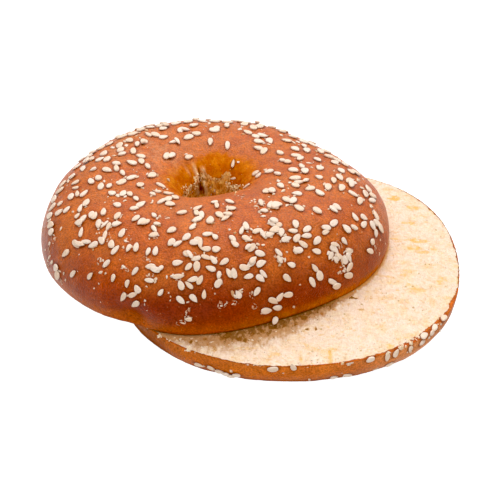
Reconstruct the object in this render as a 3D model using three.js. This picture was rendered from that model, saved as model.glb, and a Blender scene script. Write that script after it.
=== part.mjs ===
// A sesame bagel cut across the middle.  The upper half lies on the lower one,
// slid off to the left and to the back, so that part of the cut face shows.
// Millimetres, +Z up.  The origin is the middle of the bounding box in X and Y,
// on the flat underside of the lower half.
import * as THREE from 'three';

// ---------------------------------------------------------------- dimensions
const TURN = Math.PI * 2;
const SEGMENTS = 72;          // steps round each ring

const GAP = 0.3;              // air between the two cut faces that rest together

// lower half: a thin round slice with a flat underside
const LOWER = {
  radius: 55.9,               // mean radius of the cut face
  thickness: 9.6,             // underside to cut face
  sideRound: 7.4,             // how far the rounded side runs in under the slice
  holeRadius: 8.4,            // hole at the cut face
  holeFlare: 4.2,             // how much wider the hole is at the underside
  // unevenness of the outline: [waves round the ring, cosine, sine]
  outline: [[2, -0.83, 0.45], [3, -0.83, 0.45], [4, -0.69, -0.39]],
};

// upper half: the domed ring
const UPPER = {
  offsetX: -23.9,             // centre of its outline from the lower half's centre
  offsetY: 13.9,
  radius: 54.6,               // mean radius at the widest level
  crestRadius: 29.1,          // radius of the top of the dome
  crestHeight: 22.9,          // cut face to the top of the dome
  widestAt: 4.2,              // height of the widest level above the cut face
  undercut: 0.4,              // how far the crust turns in below the widest level
  holeRadius: 7.6,            // narrowest part of the hole
  holeX: 0.1,                 // the hole sits a little off the middle
  holeY: 1.2,
  holeFlare: 0.9,             // widening of the hole at the cut face
  lipPower: 2.9,              // superellipse power of the slope into the hole
  outline: [[2, -0.11, 0.40], [3, 1.36, -0.49], [4, 0.55, -0.45], [5, 0.07, -0.29], [6, -0.12, 0.29]],
  crest: [[1, 0.42, -1.54], [2, -0.50, -0.84]],
  hole: [[1, -0.11, 0.17], [2, 0.20, 0.35]],
};

// a fold where the dough was joined runs down the back of the hole
const FOLD = { angle: 1.96, width: 0.16, depth: 1.2 };

// low swells of the baked crust: [height, waves round, phase, waves over, phase]
const SWELLS = [
  [0.22, 5, 0.4, 2, 1.1],
  [0.16, 8, 2.3, 3, 0.2],
  [0.12, 11, 4.1, 1, 2.6],
];

// ------------------------------------------------------------------ functions
const waves = (terms, t) =>
  terms.reduce((sum, [k, c, s]) => sum + c * Math.cos(k * t) + s * Math.sin(k * t), 0);

const swell = (t, u) =>
  SWELLS.reduce((sum, [h, k, p, m, q]) =>
    sum + h * Math.sin(k * t + p) * Math.sin(m * Math.PI * u + q), 0);

const smooth = (x) => { const c = Math.min(1, Math.max(0, x)); return c * c * (3 - 2 * c); };

// Signed angle from b to a, in (-PI, PI].
const turnBetween = (a, b) => Math.atan2(Math.sin(a - b), Math.cos(a - b));

// Stations along the closed section of the upper half.  Each names the stretch
// it lies on and how far along that stretch it is.
function stations(parts) {
  const list = [];
  for (const [name, steps] of parts) {
    for (let i = 0; i < steps; i++) list.push({ name, u: i / steps });
  }
  return list;
}

// Upper half: cut face from the hole out, crust over the dome, slope and wall of
// the hole back down to the cut face.
const UPPER_STATIONS = stations([['cut', 4], ['dome', 17], ['slope', 11], ['wall', 3]]);

function upperPoint({ name, u }, t) {
  const R = UPPER.radius + waves(UPPER.outline, t);
  const H = UPPER.crestHeight + waves(UPPER.crest, t);
  const throat = UPPER.holeRadius + waves(UPPER.hole, t);
  const fold = FOLD.depth * Math.exp(-((turnBetween(t, FOLD.angle) / FOLD.width) ** 2));
  const rc = UPPER.crestRadius;
  const z0 = UPPER.widestAt;
  let r, z;
  if (name === 'cut') {
    const inner = throat + UPPER.holeFlare;
    const outer = R - UPPER.undercut;
    r = inner + (outer - inner) * u;
    z = 0;
  } else if (name === 'dome') {
    // below the widest level the crust turns in; above it a quarter ellipse
    const low = 3 / 17;
    if (u < low) {
      const v = u / low;
      r = R - UPPER.undercut * (1 - v) ** 2;
      z = z0 * v;
    } else {
      const a = ((u - low) / (1 - low)) * Math.PI / 2;
      r = rc + (R - rc) * Math.cos(a);
      z = z0 + (H - z0) * Math.sin(a);
      const lift = swell(t, u) * smooth((u - low) * 5);
      r += lift * Math.cos(a);
      z += lift * Math.sin(a);
    }
  } else if (name === 'slope') {
    const a = u * Math.PI / 2;
    const p = 2 / UPPER.lipPower;
    const x = Math.sin(a) ** p;
    const y = Math.cos(a) ** p;
    const deep = smooth((u - 0.35) * 2.2);
    r = rc - (rc - throat) * x + fold * deep;
    z = z0 + (H - z0) * y + swell(t, 1) * (1 - smooth(u * 1.6));
  } else {
    r = throat + UPPER.holeFlare * u * u + fold * (1 - u);
    z = z0 * (1 - u);
  }
  // the hole sits off the middle, and the shift fades out towards the rim
  const k = Math.min(1, Math.max(0, 1 - (r - throat) / (R - throat)));
  return [r * Math.cos(t) + UPPER.holeX * k, r * Math.sin(t) + UPPER.holeY * k, z];
}

// Lower half: underside from the hole out, rounded side up to the cut edge, cut
// face back in to the hole, wall of the hole down.
const LOWER_STATIONS = stations([['base', 4], ['side', 8], ['cut', 5], ['wall', 5]]);

function lowerPoint({ name, u }, t) {
  const R = LOWER.radius + waves(LOWER.outline, t);
  const T = LOWER.thickness;
  const throat = LOWER.holeRadius + 0.5 * Math.sin(2 * t + 0.7) + 0.3 * Math.cos(3 * t);
  const foot = R - LOWER.sideRound;
  const mouth = throat + LOWER.holeFlare;
  let r, z;
  if (name === 'base') {
    r = mouth + (foot - mouth) * u;
    z = 0;
  } else if (name === 'side') {
    const a = u * Math.PI / 2;
    r = foot + LOWER.sideRound * Math.sin(a) + swell(t, 0.2) * 0.8 * Math.sin(2 * a);
    z = T * (1 - Math.cos(a));
  } else if (name === 'cut') {
    r = R + (throat - R) * u;
    z = T;
  } else {
    const a = u * Math.PI / 2;
    r = throat + LOWER.holeFlare * (1 - Math.cos(a));
    z = T * (1 - Math.sin(a));
  }
  return [r * Math.cos(t), r * Math.sin(t), z];
}

// A ring turned from its mean section, then given its uneven outline: the lathe
// makes the closed surface, and each of its points moves to its own place.
function ring(stationList, point) {
  const section = stationList.map((s) => {
    const [x, y, z] = point(s, 0);
    return new THREE.Vector2(Math.hypot(x, y), z);
  });
  section.push(section[0].clone());
  const geometry = new THREE.LatheGeometry(section, SEGMENTS);
  const position = geometry.getAttribute('position');
  const rows = section.length;
  for (let i = 0; i <= SEGMENTS; i++) {
    const t = ((i % SEGMENTS) / SEGMENTS) * TURN;
    for (let j = 0; j < rows; j++) {
      const [x, y, z] = point(stationList[j % stationList.length], t);
      position.setXYZ(i * rows + j, x, y, z);
    }
  }
  position.needsUpdate = true;
  geometry.computeVertexNormals();
  return geometry;
}

// ---------------------------------------------------------------------- model
const crust = new THREE.MeshStandardMaterial({
  name: 'baked_crust', color: 0xb8622c, roughness: 0.42, metalness: 0,
});
const crumb = new THREE.MeshStandardMaterial({
  name: 'bread_crumb', color: 0xf3dcb4, roughness: 0.9, metalness: 0,
});

const lowerHalf = new THREE.Mesh(ring(LOWER_STATIONS, lowerPoint), crumb);
lowerHalf.name = 'bottom_half';

const upperHalf = new THREE.Mesh(ring(UPPER_STATIONS, upperPoint), crust);
upperHalf.name = 'top_half';
upperHalf.position.set(UPPER.offsetX, UPPER.offsetY, LOWER.thickness + GAP);

const stack = new THREE.Group();
stack.add(lowerHalf, upperHalf);

const bagel = new THREE.Group();
bagel.add(stack);

// stand the underside on z = 0, with the middle of the whole over the origin
bagel.updateMatrixWorld(true);
const bounds = new THREE.Box3().setFromObject(bagel, true);
stack.position.set(
  -(bounds.min.x + bounds.max.x) / 2,
  -(bounds.min.y + bounds.max.y) / 2,
  -bounds.min.z,
);
bagel.updateMatrixWorld(true);

export default bagel;
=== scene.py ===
"""A sesame bagel cut across the middle.

The domed top half rests askew on the flat bottom half.  Both halves are fine
meshes of the CAD shapes with the relief of crust and crumb worked into them;
the sesame seeds, broken seeds, husks and crumbs are meshes at true size.
Shapes are worked out in millimetres and written in metres.
"""
import math

import bpy
import numpy as np
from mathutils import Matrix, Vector
from mathutils.bvhtree import BVHTree
from mathutils.kdtree import KDTree


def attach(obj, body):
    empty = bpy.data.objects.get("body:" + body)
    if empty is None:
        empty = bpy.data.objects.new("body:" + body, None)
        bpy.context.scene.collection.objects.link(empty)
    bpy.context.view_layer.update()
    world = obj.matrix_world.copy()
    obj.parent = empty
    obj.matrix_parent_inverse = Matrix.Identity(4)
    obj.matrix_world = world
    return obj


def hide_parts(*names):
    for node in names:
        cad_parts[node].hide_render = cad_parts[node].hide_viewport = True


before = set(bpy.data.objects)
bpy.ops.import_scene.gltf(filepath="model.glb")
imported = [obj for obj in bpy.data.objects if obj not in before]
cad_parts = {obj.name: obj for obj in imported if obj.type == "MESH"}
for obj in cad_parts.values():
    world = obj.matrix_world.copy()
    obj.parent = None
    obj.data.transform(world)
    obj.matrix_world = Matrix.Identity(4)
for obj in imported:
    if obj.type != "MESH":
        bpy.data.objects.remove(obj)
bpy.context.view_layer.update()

MM = 0.001
PI = math.pi

# ------------------------------------------------------------------ CAD sizes
# The same named sizes and functions as the CAD halves, in millimetres.
LOWER = dict(radius=55.9, thickness=9.6, side_round=7.4, hole=8.4, flare=4.2,
             outline=((2, -0.83, 0.45), (3, -0.83, 0.45), (4, -0.69, -0.39)))
UPPER = dict(x=-23.9, y=13.9, radius=54.6, crest_radius=29.1, crest_height=22.9,
             widest=4.2, undercut=0.4, hole=7.6, hole_x=0.1, hole_y=1.2,
             flare=0.9, lip=2.9,
             outline=((2, -0.11, 0.40), (3, 1.36, -0.49), (4, 0.55, -0.45), (5, 0.07, -0.29), (6, -0.12, 0.29)),
             crest=((1, 0.42, -1.54), (2, -0.50, -0.84)),
             throat=((1, -0.11, 0.17), (2, 0.20, 0.35)))
FOLD = dict(angle=1.96, width=0.16, depth=1.2)
SWELLS = ((0.22, 5, 0.4, 2, 1.1), (0.16, 8, 2.3, 3, 0.2), (0.12, 11, 4.1, 1, 2.6))
GAP = 0.3


def waves(terms, t):
    return sum(c * np.cos(k * t) + s * np.sin(k * t) for k, c, s in terms)


def swell(t, u):
    return sum(h * np.sin(k * t + p) * np.sin(m * PI * u + q) for h, k, p, m, q in SWELLS)


def smooth(x):
    c = np.clip(x, 0, 1)
    return c * c * (3 - 2 * c)


def turn(a, b):
    return np.arctan2(np.sin(a - b), np.cos(a - b))


def upper_point(name, u, t):
    R = UPPER["radius"] + waves(UPPER["outline"], t)
    H = UPPER["crest_height"] + waves(UPPER["crest"], t)
    throat = UPPER["hole"] + waves(UPPER["throat"], t)
    fold = FOLD["depth"] * np.exp(-(turn(t, FOLD["angle"]) / FOLD["width"]) ** 2)
    rc, z0 = UPPER["crest_radius"], UPPER["widest"]
    if name == "cut":
        inner, outer = throat + UPPER["flare"], R - UPPER["undercut"]
        r = inner + (outer - inner) * u
        z = 0 * r
    elif name == "dome":
        low = 3 / 17
        v = np.clip(u / low, 0, 1)
        a = np.clip((u - low) / (1 - low), 0, 1) * PI / 2
        lift = swell(t, u) * smooth((u - low) * 5)
        r = np.where(u < low, R - UPPER["undercut"] * (1 - v) ** 2,
                     rc + (R - rc) * np.cos(a) + lift * np.cos(a))
        z = np.where(u < low, z0 * v, z0 + (H - z0) * np.sin(a) + lift * np.sin(a))
    elif name == "slope":
        a = np.clip(u, 0, 1) * PI / 2
        p = 2 / UPPER["lip"]
        x, y = np.sin(a) ** p, np.clip(np.cos(a), 0, 1) ** p
        deep = smooth((u - 0.35) * 2.2)
        r = rc - (rc - throat) * x + fold * deep
        z = z0 + (H - z0) * y + swell(t, 1.0) * (1 - smooth(u * 1.6))
    else:
        r = throat + UPPER["flare"] * u * u + fold * (1 - u)
        z = z0 * (1 - u) + 0 * r
    k = np.clip(1 - (r - throat) / (R - throat), 0, 1)
    return r * np.cos(t) + UPPER["hole_x"] * k, r * np.sin(t) + UPPER["hole_y"] * k, z


def lower_point(name, u, t):
    R = LOWER["radius"] + waves(LOWER["outline"], t)
    T = LOWER["thickness"]
    throat = LOWER["hole"] + 0.5 * np.sin(2 * t + 0.7) + 0.3 * np.cos(3 * t)
    foot, mouth = R - LOWER["side_round"], throat + LOWER["flare"]
    a = u * PI / 2
    if name == "base":
        r = mouth + (foot - mouth) * u
        z = 0 * r
    elif name == "side":
        r = foot + LOWER["side_round"] * np.sin(a) + swell(t, 0.2) * 0.8 * np.sin(2 * a)
        z = T * (1 - np.cos(a)) + 0 * r
    elif name == "cut":
        r = R + (throat - R) * u
        z = T + 0 * r
    else:
        r = throat + LOWER["flare"] * (1 - np.cos(a))
        z = T * (1 - np.sin(a)) + 0 * r
    return r * np.cos(t), r * np.sin(t), z


def cad_shift():
    """Where the CAD puts the lower half's centre, from its own 72 steps round."""
    t = (np.arange(72) / 72 * 2 * PI)[:, None]
    pts = []
    for fn, off, parts in ((lower_point, (0, 0), (("side", 8), ("cut", 5))),
                           (upper_point, (UPPER["x"], UPPER["y"]), (("cut", 4), ("dome", 17)))):
        for name, n in parts:
            x, y, _ = fn(name, (np.arange(n) / n)[None, :], t)
            pts.append(np.stack([x + off[0], y + off[1]], -1).reshape(-1, 2))
    pts = np.concatenate(pts)
    return -(pts.min(0) + pts.max(0)) / 2


SHIFT = cad_shift()
LOWER_AT = np.array([SHIFT[0], SHIFT[1], 0.0])
UPPER_AT = np.array([SHIFT[0] + UPPER["x"], SHIFT[1] + UPPER["y"], LOWER["thickness"] + GAP])


# ---------------------------------------------------------------------- noise
def _hash(x, y, z, seed):
    h = (x.astype(np.uint32) * np.uint32(73856093)) ^ (y.astype(np.uint32) * np.uint32(19349663)) \
        ^ (z.astype(np.uint32) * np.uint32(83492791)) ^ np.uint32((seed * 2654435761) % 2 ** 32)
    h ^= h >> np.uint32(15)
    h *= np.uint32(0x2C1B3C6D)
    h ^= h >> np.uint32(12)
    h *= np.uint32(0x297A2D39)
    h ^= h >> np.uint32(15)
    return h


def noise(p, seed=0):
    """Gradient noise, about -1 to 1."""
    i = np.floor(p).astype(np.int64)
    f = p - i
    w = f * f * f * (f * (f * 6 - 15) + 10)
    out = 0.0
    for dx in (0, 1):
        for dy in (0, 1):
            for dz in (0, 1):
                h = _hash(i[..., 0] + dx, i[..., 1] + dy, i[..., 2] + dz, seed)
                gx = (h & np.uint32(255)) / 127.5 - 1
                gy = ((h >> np.uint32(8)) & np.uint32(255)) / 127.5 - 1
                gz = ((h >> np.uint32(16)) & np.uint32(255)) / 127.5 - 1
                g = gx * (f[..., 0] - dx) + gy * (f[..., 1] - dy) + gz * (f[..., 2] - dz)
                out = out + g * (w[..., 0] if dx else 1 - w[..., 0]) \
                    * (w[..., 1] if dy else 1 - w[..., 1]) * (w[..., 2] if dz else 1 - w[..., 2])
    return out * 1.5


def fbm(p, octaves=4, seed=0, gain=0.5):
    out, amp = 0.0, 1.0
    for k in range(octaves):
        out = out + amp * noise(p * 2.03 ** k, seed + 17 * k)
        amp *= gain
    return out


def cells(p, seed=0):
    """Distance to the nearest and the next scattered point, and the nearest one's number."""
    i = np.floor(p).astype(np.int64)
    first = np.full(p.shape[:-1], 9.0)
    second = first.copy()
    ident = np.zeros(p.shape[:-1])
    for dx in (-1, 0, 1):
        for dy in (-1, 0, 1):
            for dz in (-1, 0, 1):
                c = i + np.array([dx, dy, dz])
                h = _hash(c[..., 0], c[..., 1], c[..., 2], seed)
                q = np.stack([(h & np.uint32(1023)) / 1023.0,
                              ((h >> np.uint32(10)) & np.uint32(1023)) / 1023.0,
                              ((h >> np.uint32(20)) & np.uint32(1023)) / 1023.0], -1)
                d = np.sqrt(((c + q - p) ** 2).sum(-1))
                near = d < first
                second = np.where(near, first, np.minimum(second, d))
                ident = np.where(near, q[..., 0], ident)
                first = np.where(near, d, first)
    return first, second, ident


# --------------------------------------------------------------------- camera
# Fitted to the outlines: 32.5 degrees above the table, 0.55 m away.
ELEVATION, DISTANCE, FOCAL = math.radians(32.5), 550.0, 1760.0     # mm, and pixels of 500
TARGET = np.array([SHIFT[0] - 11.66, SHIFT[1], 13.16])
FORWARD = np.array([0, math.cos(ELEVATION), -math.sin(ELEVATION)])
UP = np.array([0, math.sin(ELEVATION), math.cos(ELEVATION)])
RIGHT = np.array([1.0, 0, 0])
EYE = TARGET - DISTANCE * FORWARD

cam_data = bpy.data.cameras.new("camera")
cam_data.sensor_width = 36.0
cam_data.lens = FOCAL / 500 * 36.0
cam_data.clip_start, cam_data.clip_end = 0.02, 20.0
camera = bpy.data.objects.new("camera", cam_data)
camera.location = Vector(EYE * MM)
camera.rotation_euler = (PI / 2 - ELEVATION, 0, 0)
bpy.context.scene.collection.objects.link(camera)
bpy.context.scene.camera = camera


def project(p):
    q = np.asarray(p) - EYE
    d = q @ FORWARD
    return np.stack([250 + FOCAL * (q @ RIGHT) / d, 250 - FOCAL * (q @ UP) / d], -1)


def ray(x, y):
    d = RIGHT * (x - 250) / FOCAL + UP * (250 - y) / FOCAL + FORWARD
    return d / np.linalg.norm(d)


# --------------------------------------------------------------------- meshes
def stations(point, parts):
    """Stations along a closed section, by length; power crowds them to one end."""
    rows, names = [], []
    for name, count, power in parts:
        u = np.linspace(0, 1, 4001)
        x, y, z = point(name, u, np.zeros(1))
        length = np.concatenate([[0], np.cumsum(np.sqrt(np.diff(x) ** 2 + np.diff(y) ** 2 + np.diff(z) ** 2))])
        w = np.arange(count) / count
        w = w ** power if power > 0 else 1 - (1 - w) ** -power
        rows.append(np.interp(w * length[-1], length, u))
        names += [name] * count
    return rows, names


def ring_points(point, parts, steps):
    t = (np.arange(steps) / steps * 2 * PI)[:, None]
    rows, names = stations(point, parts)
    blocks = []
    for (name, _, _), u in zip(parts, rows):
        x, y, z = point(name, u[None, :], t)
        blocks.append(np.stack(np.broadcast_arrays(x, y, z), -1))
    return t, np.concatenate(blocks, 1), np.array(names), np.concatenate(rows)


def ring_normals(P):
    n = np.cross(np.roll(P, -1, 0) - np.roll(P, 1, 0), np.roll(P, -1, 1) - np.roll(P, 1, 1))
    return n / (np.linalg.norm(n, axis=-1, keepdims=True) + 1e-12)


def ring_object(name, P, masks, material):
    """A closed ring mesh of a grid that wraps both ways, with its masks and map."""
    n, m, _ = P.shape
    i, j = np.arange(n)[:, None], np.arange(m)[None, :]
    i2, j2 = (i + 1) % n, (j + 1) % m
    quads = np.stack(np.broadcast_arrays(i * m + j, i2 * m + j, i2 * m + j2, i * m + j2), -1).reshape(-1, 4)
    step = np.linalg.norm(np.roll(P, -1, 1) - P, axis=-1).mean(0)
    v = np.concatenate([[0], np.cumsum(step)]) / step.sum()
    ua = np.broadcast_to(i / n, (n, m)).reshape(-1)
    ub = np.broadcast_to((i + 1) / n, (n, m)).reshape(-1)
    va = np.broadcast_to(v[:-1][None, :], (n, m)).reshape(-1)
    vb = np.broadcast_to(v[1:][None, :], (n, m)).reshape(-1)
    uv = np.stack([ua, va, ub, va, ub, vb, ua, vb], -1).reshape(-1, 2)
    return mesh_object(name, P.reshape(-1, 3), quads, None, uv,
                       {k: np.broadcast_to(x, (n, m)).reshape(-1) for k, x in masks.items()}, material)


def mesh_object(name, verts, quads, tris, uv, masks, material):
    """One mesh object, in metres, with smooth faces, float masks on its points and its own map."""
    mesh = bpy.data.meshes.new(name)
    nq = 0 if quads is None else len(quads)
    nt = 0 if tris is None else len(tris)
    loops = np.concatenate([x.reshape(-1) for x in (quads, tris) if x is not None and len(x)])
    mesh.vertices.add(len(verts))
    mesh.vertices.foreach_set("co", (verts * MM).astype(np.float32).reshape(-1))
    mesh.loops.add(len(loops))
    mesh.loops.foreach_set("vertex_index", loops.astype(np.int32))
    mesh.polygons.add(nq + nt)
    starts = np.concatenate([np.arange(nq) * 4, nq * 4 + np.arange(nt) * 3])
    mesh.polygons.foreach_set("loop_start", starts.astype(np.int32))
    mesh.polygons.foreach_set("use_smooth", np.ones(nq + nt, bool))
    mesh.update(calc_edges=True)
    mesh.validate()
    layer = mesh.uv_layers.new(name="OFBake")
    layer.data.foreach_set("uv", uv.astype(np.float32).reshape(-1))
    for key, value in masks.items():
        a = mesh.attributes.new(key, "FLOAT", "POINT")
        a.data.foreach_set("value", value.astype(np.float32))
    mesh.materials.append(material)
    obj = bpy.data.objects.new(name, mesh)
    bpy.context.scene.collection.objects.link(obj)
    return obj


# ------------------------------------------------------------------ materials
class Graph:
    """Shader nodes with inputs given as numbers, colours or other nodes' outputs."""

    def __init__(self, name):
        self.material = bpy.data.materials.new(name)
        self.material.use_nodes = True
        self.tree = self.material.node_tree
        self.tree.nodes.clear()
        self.out = self.tree.nodes.new("ShaderNodeOutputMaterial")
        self.point = self.add("ShaderNodeTexCoord").outputs["Object"]

    def add(self, kind, inputs=None, **settings):
        node = self.tree.nodes.new(kind)
        for key, value in settings.items():
            setattr(node, key, value)
        for key, value in (inputs or {}).items():
            self.put(node.inputs[key], value)
        return node

    def put(self, socket, value):
        if isinstance(value, bpy.types.NodeSocket):
            self.tree.links.new(value, socket)
        elif isinstance(value, (tuple, list)) and len(value) == 3 and socket.type == "RGBA":
            socket.default_value = (*value, 1.0)
        else:
            socket.default_value = value

    def mask(self, name):
        return self.add("ShaderNodeAttribute", attribute_name=name).outputs["Fac"]

    def math(self, op, a, b=0.0, c=0.0, clamp=False):
        return self.add("ShaderNodeMath", {0: a, 1: b, 2: c}, operation=op, use_clamp=clamp).outputs[0]

    def stretch(self, x, y, z):
        """The point in millimetres, divided by these lengths."""
        return self.add("ShaderNodeMapping", {"Vector": self.point, "Scale": (1000 / x, 1000 / y, 1000 / z)},
                        vector_type="POINT").outputs[0]

    def noise(self, size, detail=3.0, rough=0.5, vector=None, distort=0.0):
        """Noise of about that size in millimetres, 0 to 1."""
        if vector is None:
            vector = self.stretch(size, size, size)
        return self.add("ShaderNodeTexNoise", {"Vector": vector, "Scale": 1.0, "Detail": detail,
                                               "Roughness": rough, "Distortion": distort}).outputs["Fac"]

    def cells(self, size, feature="F1", vector=None, randomness=1.0):
        if vector is None:
            vector = self.stretch(size, size, size)
        return self.add("ShaderNodeTexVoronoi", {"Vector": vector, "Scale": 1.0, "Randomness": randomness},
                        feature=feature).outputs["Distance"]

    def ramp(self, value, low, high, out_low=0.0, out_high=1.0):
        return self.add("ShaderNodeMapRange", {"Value": value, "From Min": low, "From Max": high,
                                               "To Min": out_low, "To Max": out_high},
                        interpolation_type="SMOOTHSTEP").outputs[0]

    def mix(self, factor, a, b, blend="MIX"):
        node = self.add("ShaderNodeMix", data_type="RGBA", blend_type=blend, clamp_factor=True)
        self.put(node.inputs[0], factor)
        self.put(node.inputs[6], a)
        self.put(node.inputs[7], b)
        return node.outputs[2]

    def blend(self, factor, a, b):
        node = self.add("ShaderNodeMix", data_type="FLOAT", clamp_factor=True)
        self.put(node.inputs[0], factor)
        self.put(node.inputs[2], a)
        self.put(node.inputs[3], b)
        return node.outputs[0]

    def bump(self, height, distance_mm, strength=1.0, normal=None):
        inputs = {"Height": height, "Distance": distance_mm * MM, "Strength": strength}
        if normal is not None:
            inputs["Normal"] = normal
        return self.add("ShaderNodeBump", inputs).outputs[0]

    def surface(self, inputs):
        shader = self.add("ShaderNodeBsdfPrincipled", inputs)
        self.tree.links.new(shader.outputs[0], self.out.inputs["Surface"])
        return self.material


def bread(name, top):
    """Crust and crumb of one half, told apart by the 'crumb' mask, in millimetres."""
    g = Graph(name)
    fine = g.noise(0.55, 2.0, 0.6)
    grain = g.noise(1.4, 3.0, 0.7)
    mottle = g.noise(3.2, 3.0, 0.55)
    broad = g.noise(13.0, 2.0, 0.5)

    # crust: reddish tan, more orange in places, darker where it baked hardest
    crust = g.mix(g.ramp(broad, 0.35, 0.65), CRUST_RED, CRUST_TAN)
    crust = g.mix(g.ramp(mottle, 0.35, 0.75), crust, g.mix(0.5, crust, CRUST_ORANGE))
    crust = g.mix(g.mask("amber"), crust, CRUST_AMBER if top else SIDE_GOLD)
    crust = g.mix(g.mask("bake"), crust, CRUST_DARK)
    crust = g.mix(g.mask("blotch"), crust, CRUST_BLOTCH if top else SIDE_BROWN_AND_SHADE)
    crust = g.mix(g.mask("rim"), crust, CRUST_RIM if top else SIDE_TAN)
    if top:
        crust = g.mix(g.math("MULTIPLY", g.mask("halo"), 0.22), crust, GOLD_HALO)
        streaks = g.noise(1.0, 4.0, 0.65, g.stretch(1.2, 1.2, 3.4))
        gold = g.mix(g.ramp(streaks, 0.32, 0.68), GOLD_DEEP, GOLD_LIGHT)
        gold = g.mix(g.mask("deep"), gold, GOLD_DARK)
        crust = g.mix(g.mask("gold"), crust, gold)
        crust = g.mix(g.mask("pale"), crust, GOLD_PALE)
        # painted shade in the crease
        crust = g.mix(g.mask("crease"), crust, GOLD_CREASE_SHADE)
    speck = g.math("MULTIPLY", g.ramp(fine, 0.28, 0.72, 0.72, 1.24), g.ramp(grain, 0.28, 0.72, 0.93, 1.06))
    speck = g.math("MULTIPLY", speck, g.ramp(mottle, 0.25, 0.75, 0.90, 1.09))
    dots = g.ramp(g.cells(2.6), 0.06, 0.12, 0.0, 1.0)
    speck = g.math("MULTIPLY", speck, g.blend(dots, 0.60, 1.0))
    if top:                     # the wall of the hole is smoother
        speck = g.blend(g.math("MULTIPLY", g.mask("gold"), 0.65), speck, 1.0)
    grey = g.add("ShaderNodeCombineColor", {0: speck, 1: speck, 2: speck}).outputs[0]
    crust = g.mix(1.0, crust, grey, "MULTIPLY")
    # painted shade close round the seeds, with crust baked darker there
    crust = g.mix(g.math("MULTIPLY", g.mask("seed_dent_shade"), 0.60), crust, CRUST_DENT_SHADE)
    if not top:                 # darker near the floor: scorched where it lay on the tray, and painted shade where the side turns under, widest on the left under the top half
        crust = g.mix(g.mask("foot"), crust, CRUST_SCORCH_AND_SHADE)
    flecks = g.math("MULTIPLY", g.ramp(g.cells(1.3, vector=g.stretch(1.2, 1.4, 1.3)), 0.17, 0.09), g.ramp(mottle, 0.42, 0.55))
    crust = g.mix(g.math("MULTIPLY", flecks, 0.38), crust, CRUST_FLECK)

    # crumb: cream, with tan where the pores' walls are denser, and small dark pores
    strand = g.noise(1.0, 4.0, 0.6, g.stretch(0.45, 1.3, 1.3))
    drift = g.noise(1.0, 4.0, 0.65, g.stretch(3.6, 4.4, 4.0))
    cream = g.mix(g.ramp(drift, 0.42, 0.68), CRUMB_CREAM, CRUMB_WARM)
    cream = g.mix(g.math("MULTIPLY", g.mask("tan"), g.ramp(grain, 0.25, 0.55)), cream, CRUMB_TAN)
    spots = g.ramp(g.cells(5.2, vector=g.stretch(5.0, 6.0, 5.0)), 0.10, 0.05)
    cream = g.mix(g.math("MULTIPLY", spots, 0.75), cream, CRUMB_SPOT)
    pores = g.ramp(g.cells(1.5, vector=g.stretch(1.2, 1.9, 1.5)), 0.16, 0.06)
    pores = g.math("MULTIPLY", pores, g.ramp(g.noise(4.0, 1.0), 0.50, 0.62))
    cream = g.mix(g.math("MULTIPLY", pores, 0.7), cream, CRUMB_PORE)
    # pores painted warm tan, for the warm light thrown about inside them
    if not top:
        cream = g.mix(g.math("MULTIPLY", g.mask("pit"), 0.8), cream, CRUMB_PIT_BOUNCE)
    if not top:                 # painted shadow of the top half in front of its rim, over crumb pressed and coarser there
        coarse = g.noise(1.0, 4.0, 0.65, g.stretch(0.9, 2.6, 2.0))
        ragged = g.math("MULTIPLY_ADD", coarse, -1.8, 0.90)
        pressed_shade = g.math("MULTIPLY", g.ramp(g.math("ADD", g.mask("pressed_shade"), ragged), 0.02, 0.92), g.ramp(g.mask("pressed_shade"), 0.0, 0.12))
        cream = g.mix(pressed_shade, cream, CRUMB_PRESSED_SHADE)
        # painted deep shadow close under the rim of the top half, broken up by fibres and grains
        fibre = g.math("MULTIPLY_ADD", g.noise(1.0, 3.0, 0.65, g.stretch(0.9, 2.8, 2.0)), 2.2, -1.1)
        grains = g.math("MULTIPLY_ADD", grain, 1.8, -0.9)
        umber_shade = g.math("ADD", g.mask("umber_shade"), g.math("ADD", fibre, grains))
        umber_shade = g.math("MULTIPLY", g.ramp(umber_shade, 0.45, 0.85, 0.0, 0.90), g.ramp(g.mask("umber_shade"), 0.02, 0.25))
        cream = g.mix(umber_shade, cream, CRUMB_UMBER_SHADE)
        # painted shade in the torn hollows: darker round each, dark umber at its middle
        spot = g.math("ADD", g.mask("spot"), g.math("MULTIPLY_ADD", g.noise(0.8, 3.0, 0.65), 0.8, -0.4))
        around = g.math("MULTIPLY", g.ramp(spot, 0.05, 0.40), g.ramp(g.mask("spot"), 0.0, 0.15))
        cream = g.mix(around, cream, CRUMB_BESIDE_SHADE, "MULTIPLY")
        cream = g.mix(g.math("MULTIPLY", g.ramp(spot, 0.42, 0.62), around), cream, CRUMB_UMBER_SHADE)
        # painted glow on the crumb close under the right of the rim, for light thrown back there
        cream = g.mix(g.mask("glow"), cream, CRUMB_PAINTED_GLOW)
        # pores painted dark inside that painted shadow
        holes = g.math("MULTIPLY", g.math("MULTIPLY", g.mask("pressed_shade"), 1.6), g.ramp(coarse, 0.38, 0.30), clamp=True)
        cream = g.mix(g.math("MULTIPLY", holes, 0.75), cream, CRUMB_PORE)
    if top:                     # the open crumb wall of the hole is painted warm and brown, for its shade and the orange light thrown back inside it
        strings = g.noise(1.0, 4.0, 0.7, g.stretch(0.6, 0.6, 2.4))
        hole_shade = g.mix(g.ramp(strings, 0.35, 0.65), CRUMB_BROWN_SHADE, CRUMB_OCHRE_SHADE)
        cream = g.mix(g.ramp(g.mask("hole_shade"), 0.0, 0.25), cream, CRUMB_TORN)
        cream = g.mix(g.ramp(g.mask("hole_shade"), 0.35, 0.95), cream, hole_shade)
        cream = g.mix(g.mask("pale"), cream, CRUMB_LIGHT)
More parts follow.
